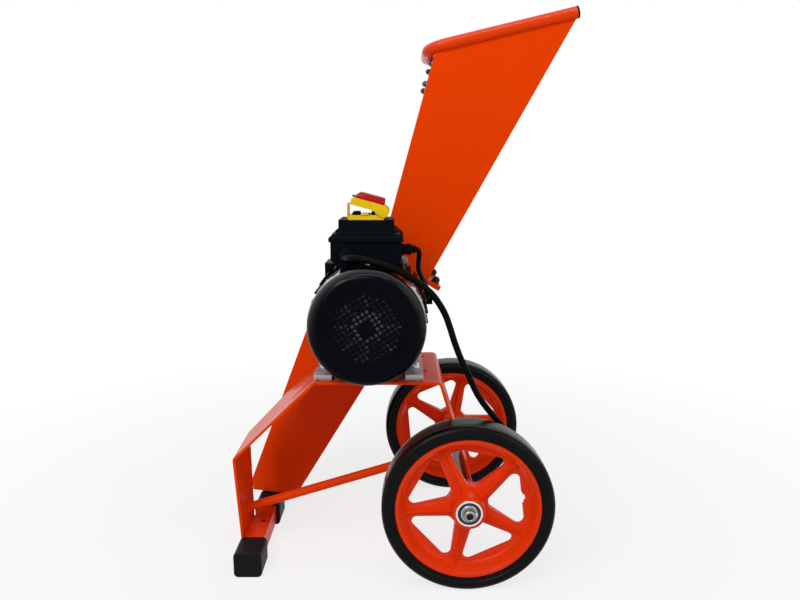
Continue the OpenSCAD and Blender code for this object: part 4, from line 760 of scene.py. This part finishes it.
# frustum standing on a given height of the local axis
def coneAt(tree, sides, radius, top, depth, height):
    cone = addNode(tree, "GeometryNodeMeshCone", {
        "Vertices": sides, "Radius Bottom": radius, "Radius Top": top, "Depth": depth})
    place = addNode(tree, "ShaderNodeCombineXYZ", {"Z": height})
    moved = {"Geometry": cone.outputs["Mesh"], "Translation": place.outputs[0]}
    return addNode(tree, "GeometryNodeTransform", moved).outputs["Geometry"]


def spreadOn(tree, points, instance):
    inputs = {"Points": points, "Instance": instance}
    return addNode(tree, "GeometryNodeInstanceOnPoints", inputs).outputs[0]


def joinNode(tree, parts):
    join = tree.nodes.new("GeometryNodeJoinGeometry")
    for part in parts:
        tree.links.new(part, join.inputs[0])
    return join.outputs[0]


def finishGrowth(tree, geometry, finish, leave):
    real = addNode(tree, "GeometryNodeRealizeInstances", {"Geometry": geometry})
    paint = addNode(tree, "GeometryNodeSetMaterial", {"Geometry": real.outputs[0], "Material": finish})
    tree.links.new(paint.outputs[0], leave.inputs[0])


hexSizes = ("Head Radius", "Head Height", "Washer Radius", "Washer Height", "Shank Radius", "Length",
            "Tail Radius", "Tail Height", "Nut Radius", "Nut Height", "Nut Drop")


# hexagon head on a washer, the bolt's end above it, shank below, a nut further down
def makeHexSet():
    tree, get, leave = newGrowth("hexSet", hexSizes)
    calc = partial(mathNode, tree)
    sizes = [get[label] for label in hexSizes]
    head, headTall, washer, washerTall, shank, long, tail, tailTall, nut, nutTall, drop = sizes
    low = calc("MULTIPLY", headTall, 0.82)
    tip = calc("MULTIPLY", headTall, 0.18)
    under = calc("MULTIPLY", calc("ADD", drop, nutTall), -1.0)
    parts = [
        coneAt(tree, 6, head, head, low, washerTall),
        coneAt(tree, 6, head, calc("MULTIPLY", head, 0.86), tip, calc("ADD", washerTall, low)),
        coneAt(tree, 28, washer, calc("MULTIPLY", washer, 0.97), washerTall, 0.0),
        coneAt(tree, 16, shank, shank, long, calc("MULTIPLY", long, -1.0)),
        coneAt(tree, 16, tail, calc("MULTIPLY", tail, 0.8), tailTall, calc("ADD", washerTall, headTall)),
        coneAt(tree, 6, calc("MULTIPLY", nut, 0.9), nut, nutTall, under)]
    finishGrowth(tree, spreadOn(tree, get["Geometry"], joinNode(tree, parts)), get["Finish"], leave)
    return tree


# lattice of round holes through a sheet, kept between two radii
def makePerforation():
    sizes = ("Pitch", "Hole Radius", "Inner Radius", "Outer Radius", "Height")
    tree, get, leave = newGrowth("perforation", sizes)
    calc = partial(mathNode, tree)
    cells = 24
    span = calc("MULTIPLY", get["Pitch"], cells)
    grid = addNode(tree, "GeometryNodeMeshGrid", {
        "Size X": span, "Size Y": span, "Vertices X": cells + 1, "Vertices Y": cells + 1})
    lift = addNode(tree, "ShaderNodeCombineXYZ", {"Z": get["Height"]})
    turn = addNode(tree, "GeometryNodeTransform", {
        "Geometry": grid.outputs["Mesh"], "Translation": lift.outputs[0],
        "Rotation": (0, 0, radians(motor["holeTurn"]))})
    place = tree.nodes.new("GeometryNodeInputPosition").outputs[0]
    spot = addNode(tree, "ShaderNodeSeparateXYZ", {"Vector": place}).outputs
    far = calc("SQRT", calc("ADD", *[calc("MULTIPLY", spot[k], spot[k]) for k in ("X", "Y")]))
    inside = calc("LESS_THAN", far, get["Inner Radius"])
    drop = calc("ADD", inside, calc("GREATER_THAN", far, get["Outer Radius"]), True)
    kept = addNode(tree, "GeometryNodeDeleteGeometry", {"Geometry": turn.outputs[0], "Selection": drop})
    cutter = addNode(tree, "GeometryNodeMeshCylinder", {
        "Radius": get["Hole Radius"], "Vertices": 14, "Depth": motor["holeDeep"] * mm})
    cutters = addNode(tree, "GeometryNodeRealizeInstances", {
        "Geometry": spreadOn(tree, kept.outputs[0], cutter.outputs["Mesh"])})
    cut = addNode(tree, "GeometryNodeMeshBoolean", operation="DIFFERENCE")
    feed(tree, cut, {"Mesh 1": get["Geometry"], "Mesh 2": cutters.outputs[0]})
    finishGrowth(tree, cut.outputs["Mesh"], get["Finish"], leave)
    return tree


# upright grips in a ring, joined to the turned body that they stand on
def makeGripRing():
    sizes = ("Ring Radius", "Grip Radius", "Grip Length", "Height")
    tree, get, leave = newGrowth("gripRing", sizes, Count="Int")
    ring = addNode(tree, "GeometryNodeMeshCircle", {"Vertices": get["Count"], "Radius": get["Ring Radius"]})
    tip = mathNode(tree, "MULTIPLY", get["Grip Radius"], 0.7)
    grip = coneAt(tree, 8, get["Grip Radius"], tip, get["Grip Length"], get["Height"])
    both = joinNode(tree, [get["Geometry"], spreadOn(tree, ring.outputs[0], grip)])
    finishGrowth(tree, both, get["Finish"], leave)
    return tree


# a carrier with a node tree on it, turned into a plain mesh
def grown(name, carrier, tree, finish, sizes, angle=30.0, count=0):
    holder = linked(carrier)
    grow = holder.modifiers.new("grow", "NODES")
    grow.node_group = tree
    values = {label: size * mm for label, size in sizes.items()}
    values.update({"Finish": finishes[finish], "Count": count})
    for item in tree.interface.items_tree:
        if item.item_type == "SOCKET" and item.in_out == "INPUT" and item.name in values:
            grow[item.identifier] = values[item.name]
    holder.update_tag()
    bpy.context.view_layer.update()
    mesh = shownMesh(holder, name)
    rounder(mesh, angle)
    return mesh


motor = {"axis": (-58.5, 394), "cowlR": 85.5, "cowlBack": -106, "cowlLong": 86, "cowlSheet": 1.8,
         "cowlRound": 19, "ringR": 61, "step": 1.6, "holePitch": 7.0, "holeTurn": 32, "holeR": 2.4,
         "holeFirst": 13, "holeLast": 47, "holeDeep": 20}
hexSet = makeHexSet()
perforation = makePerforation()
gripRing = makeGripRing()

# sizes of each set in the order of hexSizes
boltSizes = {"foot_bolts": (6.8, 4.8, 8.2, 1.0, 4, 22.4, 1.0, 0.05, 6.8, 6.4, 14),
             "cover_bolts": (6.8, 4.4, 7.6, 0.8, 4, 18, 1.0, 0.05, 1.0, 0.5, 3.0),
             "hopper_bolts": (7, 7.5, 8, 1.6, 4, 8, 4, 1.9, 1.0, 0.5, 3.0),
             "flap_bolts": (5.2, 4.2, 6, 1.2, 3, 6, 2.8, 2.2, 5.5, 3, 5.5)}
footBolts = {"middleY": -36, "reach": (70, 45), "seat": 312}
coverBolts = {"ringR": 94, "seat": 178, "turns": (112, 150, 320, 350)}
hopperBolts = {"tilt": 31.3, "seat": 80, "along": (-44, 76.5), "across": (62, 162)}
flapBolts = {"wallLow": (-44.65, 474.5), "wallHigh": (45.0, 800.0), "rows": (14, 48), "across": (63, 161)}


def boltSet(name, points, xAxis, zAxis, finish):
    local = turnedFrame((0, 0, 0), xAxis, zAxis)
    inverse = local.inverted()
    mesh = bpy.data.meshes.new(name + "Points")
    mesh.from_pydata([tuple(inverse @ (Vector(p) * mm)) for p in points], [], [])
    bolts = grown(name + "_set", mesh, hexSet, finish, dict(zip(hexSizes, boltSizes[name])), 32.0)
    bolts.transform(local)
    standsFor(name, bolts)


def makeBolts():
    x0, z0 = motor["axis"]
    dx, dy = footBolts["reach"]
    y0, z = footBolts["middleY"], footBolts["seat"]
    points = [(x, y, z) for x in (x0 - dx, x0 + dx) for y in (y0 - dy, y0 + dy)]
    boltSet("foot_bolts", points, (1, 0, 0), (0, 0, 1), "zincSteel")
    r = coverBolts["ringR"]
    points = [(x0 + r * cos(a), coverBolts["seat"], z0 + r * sin(a))
              for a in map(radians, coverBolts["turns"])]
    boltSet("cover_bolts", points, (1, 0, 0), (0, 1, 0), "zincSteel")
    t, h = radians(hopperBolts["tilt"]), hopperBolts["seat"]
    points = [(x0 + d * cos(t) + h * sin(t), y, z0 - d * sin(t) + h * cos(t))
              for d in hopperBolts["along"] for y in hopperBolts["across"]]
    boltSet("hopper_bolts", points, (0, 1, 0), (sin(t), 0, cos(t)), "boltBlack")
    top = Vector(flapBolts["wallHigh"])
    up = (top - Vector(flapBolts["wallLow"])).normalized()
    points = [(top.x - up.x * row, y, top.y - up.y * row)
              for row in flapBolts["rows"] for y in flapBolts["across"]]
    boltSet("flap_bolts", points, (0, 1, 0), (-up.y, 0, up.x), "boltSteel")
    print("bolts grown")


makeBolts()


# motor: pressed cowl with its grille, finned body, cast flange and feet
def makeCowl():
    r, l, t, q, ring = pick(motor, "cowlR", "cowlLong", "cowlSheet", "cowlRound", "ringR")
    floor = l - motor["step"]
    quarter = [radians(90 * i / 8) for i in range(9)]
    outside = [(r, 0), (r, 3), (r - 0.6, 4), (r - 0.6, l - q)]
    outside += [(r - q + (q - 0.6) * cos(a), l - q + q * sin(a)) for a in quarter[1:]]
    outside += [(ring + 3.5, l), (ring + 2, l - 0.3), (ring - 1, floor + 0.2), (ring - 3, floor), (0, floor)]
    inside = [(0, floor - t), (ring - 3, floor - t), (ring + 1, floor - t + 0.6), (ring + 3.5, l - t)]
    inside += [(r - q + (q - t) * cos(a), l - q + (q - t) * sin(a)) for a in reversed(quarter)]
    inside += [(r - t, 0)]
    shell = flattened(turnedMesh("cowlTurned", outside + inside, 112), "cowlShell", 0.3)
    mesh = grown("fan_cowl_shell", shell, perforation, "cowlPaint", {
        "Pitch": motor["holePitch"], "Hole Radius": motor["holeR"], "Inner Radius": motor["holeFirst"],
        "Outer Radius": motor["holeLast"], "Height": floor - t / 2})
    x, z = motor["axis"]
    mesh.transform(turnedFrame((x, motor["cowlBack"], z), (1, 0, 0), (0, -1, 0)))
    standsFor("fan_cowl", mesh)


# finish, broken edge and its steps, and the finish of what shows its own solid
motorDress = {
    "motor_body": ("motorPaint", 0.5), "fan_shield": ("motorPaint", 1.0), "cowl_screws": ("zincSteel", 0.5),
    "motor_feet": ("castAlloy", 1.4, 3), "drive_flange": ("castAlloy", 1.4, 3),
    "flange_screws": ("zincSteel", 0.4)}
motorPlain = {
    "stator_core": "coreSteel", "stator_winding": "windingCopper", "shaft_bearings": "raceSteel",
    "motor_shaft": "axleSteel", "rotor_core": "coreSteel", "cooling_fan": "fanPlastic",
    "capacitor": "capShell"}


def makeMotor():
    makeCowl()
    for node, values in motorDress.items():
        dressed(node, *values)
    for node, finish in motorPlain.items():
        plainNode(node, finish)
    print("motor made")


makeMotor()


# switch box and lid, with glands, ledges round the lid's shoulder and the guarded buttons
glands = {
    "cord_gland": {"at": (-90, -104, 489), "axis": (0, -1, 0), "across": (1, 0, 0), "hexR": 12, "neckR": 9.5,
                   "nutR": 10.4, "nut": (8, 16), "long": 22, "mouthR": 5.0, "count": 16},
    "cable_gland": {"at": (-9, -40, 491), "axis": (1, 0, 0), "across": (0, 1, 0), "hexR": 10, "neckR": 7.5,
                    "nutR": 8.2, "nut": (7, 15), "long": 22, "mouthR": 4.3, "count": 14}}
lidPlan = {"rimZ": 514, "topZ": 527, "inset": 14, "ledges": (5.2, 10.6), "wide": 2.4, "clear": 15}
switchPlan = {"sides": (-92.5, -42.5), "top": 547, "guards": ((-83.2, -71.4), (-55.0, -49.4)),
              "tab": (-70, -57)}
# the flap's own X runs along it from the pin, its Z out of it
flapPlan = {"pin": (-36.5, 551.5), "tilt": 15, "knuckleR": 8.8, "cheek": 1.8, "cheekOut": 1.1}
# height, low x, high x, low y, high y and corner radius of each section
padSections = [(10.05, -47.5, -1.5, -88.2, -46.8, 4), (11.0, -48.2, -1.0, -88.5, -46.5, 4.4),
               (12.4, -47.2, -1.0, -88.5, -46.5, 4.6), (17.8, -42.6, -2.0, -87.6, -47.4, 5),
               (19.4, -41.0, -2.9, -86.6, -48.4, 5), (20.3, -38.8, -5.0, -84.4, -50.6, 4)]
lipSections = [(10.1, -51.2, -46, -79, -56, 1.0), (11.5, -51.7, -46, -79, -56, 1.2),
               (12.0, -51.2, -46, -78.5, -56.5, 0.9)]


def makeGland(node, plan):
    low, high = plan["nut"]
    flat, neck, r, mouth, end = pick(plan, "hexR", "neckR", "nutR", "mouthR", "long")
    hexPart = turnedMesh(node + "Hex", [
        (1, 0), (flat, 0), (flat, low - 3), (flat - 1, low - 2.4), (1, low - 2.4)], 6)
    body = turnedMesh(node + "Body", [
        (mouth, 1), (neck, 1), (neck, low), (r - 0.6, low), (r, low + 0.6), (r, high - 1), (r - 0.8, high),
        (r - 2.2, high + 2.2), (mouth + 2, end - 0.8), (mouth + 1.2, end), (mouth, end)], 48)
    carrier = joinedMesh(node + "Carrier", [hexPart, body])
    mesh = grown(node + "_nut", carrier, gripRing, "boxPlastic", {
        "Ring Radius": r, "Grip Radius": 0.9, "Grip Length": high - low - 1, "Height": low + 0.3},
        count=plan["count"])
    mesh.transform(turnedFrame(plan["at"], plan["across"], plan["axis"]))
    standsFor(node, mesh)


# low ridges along the four slopes of the lid, clear of the screws in its corners
def makeLedges():
    low, high = nodeBox("box_lid")
    rim, top, wide, gap = pick(lidPlan, "rimZ", "topZ", "wide", "clear")
    parts = []
    for inset in lidPlan["ledges"]:
        z = rim + (top - rim) * inset / lidPlan["inset"]
        near, far = inset - wide / 2, inset + wide / 2
        strips = [(low.x + gap, high.x - gap, y, y + wide) for y in (low.y + near, high.y - far)]
        strips += [(x, x + wide, low.y + gap, high.y - gap) for x in (low.x + near, high.x - far)]
        for x0, x1, y0, y1 in strips:
            parts.append(loftedMesh("ledge", [
                (z - 1.6, x0, x1, y0, y1, 0.5), (z + 0.5, x0, x1, y0, y1, 0.5),
                (z + 0.9, x0 + 0.4, x1 - 0.4, y0 + 0.4, y1 - 0.4, 0.4)], 2))
    placed(linked(joinedMesh("lid_ledges", parts)), "chassis", "boxPlastic")


# black guards beside the buttons and a low tab on the base's near wall
def makeGuards():
    (near, far), top = pick(switchPlan, "sides", "top")
    y0, y1 = near + 5, far - 5
    parts = [loftedMesh("guard", [
        (top - 0.5, x0, x1, y0, y1, 2), (top + 3.6, x0 + 0.3, x1 - 0.3, y0 + 0.3, y1 - 0.3, 2),
        (top + 4.6, x0 + 1.3, x1 - 1.3, y0 + 1.3, y1 - 1.3, 1.5)], 3) for x0, x1 in switchPlan["guards"]]
    placed(linked(joinedMesh("button_guards", parts)), "chassis", "boxPlastic")
    x0, x1 = switchPlan["tab"]
    tab = loftedMesh("base_tab", [
        (top - 1, x0, x1, near, near + 1.6, 0.6), (top + 1.6, x0 + 1, x1 - 1, near, near + 1.6, 0.6),
        (top + 2.2, x0 + 2, x1 - 2, near + 0.3, near + 1.3, 0.3)], 2)
    placed(linked(tab), "chassis", "flapYellow")


# flap with knuckle cheeks over its pin, the red pad on it and the finger lip under the pad
def makeFlap():
    dressed("stop_flap", "flapYellow", 0.9, 3)
    tilt = radians(flapPlan["tilt"])
    along, up = (cos(tilt), 0, -sin(tilt)), (sin(tilt), 0, cos(tilt))
    x, z = flapPlan["pin"]
    r, out = flapPlan["knuckleR"], flapPlan["cheekOut"]
    outline = [(r * cos(a), 0.4 + r * sin(a)) for a in map(radians, range(-105, 76, 12))]
    outline += [(-4, 10), (-20, 10), (-20, -1.3), (-12, -3.2)]
    cheeks = []
    for y in (switchPlan["sides"][0] - out, switchPlan["sides"][1] + out):
        cheek = plateMesh("cheek", [outline], flapPlan["cheek"], 0.6)
        cheek.transform(turnedFrame((x, y, z), along, (0, -1, 0)))
        cheeks.append(cheek)
    placed(linked(joinedMesh("flap_cheeks", cheeks)), "switch_flap", "flapYellow")
    pad, lip = loftedMesh("pad_cap", padSections), loftedMesh("pad_lip", lipSections, 3)
    for mesh in (pad, lip):
        mesh.transform(turnedFrame((x, 0, z), along, up))
    standsFor("stop_pad", pad, "padRed")
    placed(linked(lip), "switch_flap", "boxPlastic")


def makeSwitch():
    dressed("switch_box", "boxPlastic", 1.8, 3)
    dressed("box_lid", "boxPlastic", 1.3, 3, 20.0, 25.0)
    makeLedges()
    dressed("lid_screws", "boltBlack", 0.5)
    for node, plan in glands.items():
        makeGland(node, plan)
    dressed("interlock_switch", "boxPlastic", 1.0)
    dressed("switch_base", "flapYellow", 0.7, 3)
    makeGuards()
    makeFlap()
    plainNode("flap_pin", "zincSteel")
    dressed("start_button", "buttonGreen", 0.9, 3)
    dressed("stop_button", "padRed", 0.9, 3)
    print("switch made")


makeSwitch()


# cutting works, feet and the hopper's rubber curtain, cut into strips that bow a little
curtain = {"slits": 3, "slit": 0.8, "thick": 2.0, "bow": 1.25, "mostBow": 1.0, "rows": 14}
cutterDress = {
    "flap_clamp": ("zincSteel", 0.5), "chip_rotor": ("rotorIron", 1.0), "blades": ("bladeSteel", 0.3),
    "blade_bolts": ("boltBlack", 0.4), "rotor_bolt": ("zincSteel", 0.5), "anvil": ("bladeSteel", 0.4),
    "near_foot": ("footRubber", 4.0, 4), "far_foot": ("footRubber", 4.0, 4)}


def makeCurtain():
    low, high = nodeBox("rubber_flap")
    slit, rows, most = pick(curtain, "slit", "rows", "mostBow")
    strips = curtain["slits"] + 1
    wide, tall = (high.y - low.y) / strips, high.z - low.z
    middle, half = (low.x + high.x) / 2, curtain["thick"] / 2
    verts, faces = [], []
    for s in range(strips):
        y0, y1 = low.y + s * wide + slit / 2, low.y + (s + 1) * wide - slit / 2
        faces += stackFaces(rows + 1, 4, len(verts))
        for f in [i / rows for i in range(rows + 1)]:
            bow = (1 if s % 2 else -0.4) * curtain["bow"] * f * f
            x, z = middle + max(-most, min(most, bow)), high.z - tall * f
            verts += [(x - half, y0, z), (x + half, y0, z), (x + half, y1, z), (x - half, y1, z)]
    standsFor("rubber_flap", meshFrom("curtain_strips", verts, faces), "footRubber")


def makeCutter():
    makeCurtain()
    for node, values in cutterDress.items():
        dressed(node, *values)
    print("cutter made")


makeCutter()


# floor and light, in metres; the floor shows white further out and keeps the shadow near the object
stage = {"floorHalf": 9.0, "floorZ": -0.0005, "floorTone": 0.93, "worldGlow": 0.28, "shadowKept": 0.78,
         "fadeFrom": 0.30, "fadeTo": 1.20}
# place, aim, power, width and height of each lamp
lamps = {"keyLight": ((-0.8, -1.7, 1.9), (0, 0, 0.55), 19.5, 1.5, 0.6),
         "fillLight": ((2.0, -1.2, 1.4), (0, 0, 0.4), 4.0, 1.2, 1.2),
         "backLight": ((0.4, 2.0, 2.2), (0, 0, 0.5), 6.5, 1.6, 1.0),
         "leftStrip": ((-1.15, -1.55, 1.35), (0, 0, 0.4), 3.8, 0.08, 1.2),
         "rightStrip": ((1.35, -1.45, 1.25), (0, 0, 0.35), 3.4, 0.08, 1.2),
         "topStrip": ((0.0, -0.9, 2.0), (0, 0, 0.4), 4.2, 1.4, 0.08)}


# a share of plain white for what the camera sees, also in mirrors and through glass
def whiteForCamera(tree, shader, output, share):
    path = tree.nodes.new("ShaderNodeLightPath").outputs
    seen = mathNode(tree, "MAXIMUM", path["Is Camera Ray"], path["Is Glossy Ray"])
    seen = mathNode(tree, "MAXIMUM", seen, path["Is Transmission Ray"])
    white = tree.nodes.new("ShaderNodeEmission").outputs[0]
    fac = mathNode(tree, "MULTIPLY", seen, share, True)
    mixed = addNode(tree, "ShaderNodeMixShader", {0: fac, 1: shader, 2: white})
    tree.links.new(mixed.outputs[0], output)


def makeFloor():
    half, z = stage["floorHalf"], stage["floorZ"]
    mesh = bpy.data.meshes.new("floor")
    corners = ((-1, -1), (1, -1), (1, 1), (-1, 1))
    mesh.from_pydata([(half * x, half * y, z) for x, y in corners], [], [(0, 1, 2, 3)])
    floor = linked(mesh)
    finish, tree, shader = newFinish("floorWhite")
    tone = stage["floorTone"]
    feed(tree, shader, {"Base Color": (tone, tone, tone, 1), "Roughness": 0.9, "Specular IOR Level": 0.0})
    place = tree.nodes.new("ShaderNodeTexCoord").outputs["Object"]
    away = addNode(tree, "ShaderNodeVectorMath", {0: place}, operation="LENGTH").outputs["Value"]
    fade = rangeNode(tree, away, stage["fadeFrom"], stage["fadeTo"], stage["shadowKept"], 1.0)
    whiteForCamera(tree, shader.outputs[0], tree.nodes["Material Output"].inputs["Surface"], fade)
    mesh.materials.append(finish)


def makeLight():
    world = bpy.data.worlds.new("studio")
    bpy.context.scene.world = world
    world.use_nodes = True
    tree = world.node_tree
    glow = tree.nodes["Background"]
    feed(tree, glow, {"Color": (1, 1, 1, 1), "Strength": stage["worldGlow"]})
    whiteForCamera(tree, glow.outputs[0], tree.nodes["World Output"].inputs["Surface"], 1.0)
    for name, (place, aim, power, wide, tall) in lamps.items():
        data = bpy.data.lights.new(name, "AREA")
        data.energy = power
        data.shape = "RECTANGLE"
        data.size = wide
        data.size_y = tall
        lamp = bpy.data.objects.new(name, data)
        lamp.location = place
        lamp.rotation_euler = (Vector(aim) - Vector(place)).to_track_quat("-Z", "Y").to_euler()
        bpy.context.collection.objects.link(lamp)


makeFloor()
makeLight()
print("stage set")

print("all pieces placed")
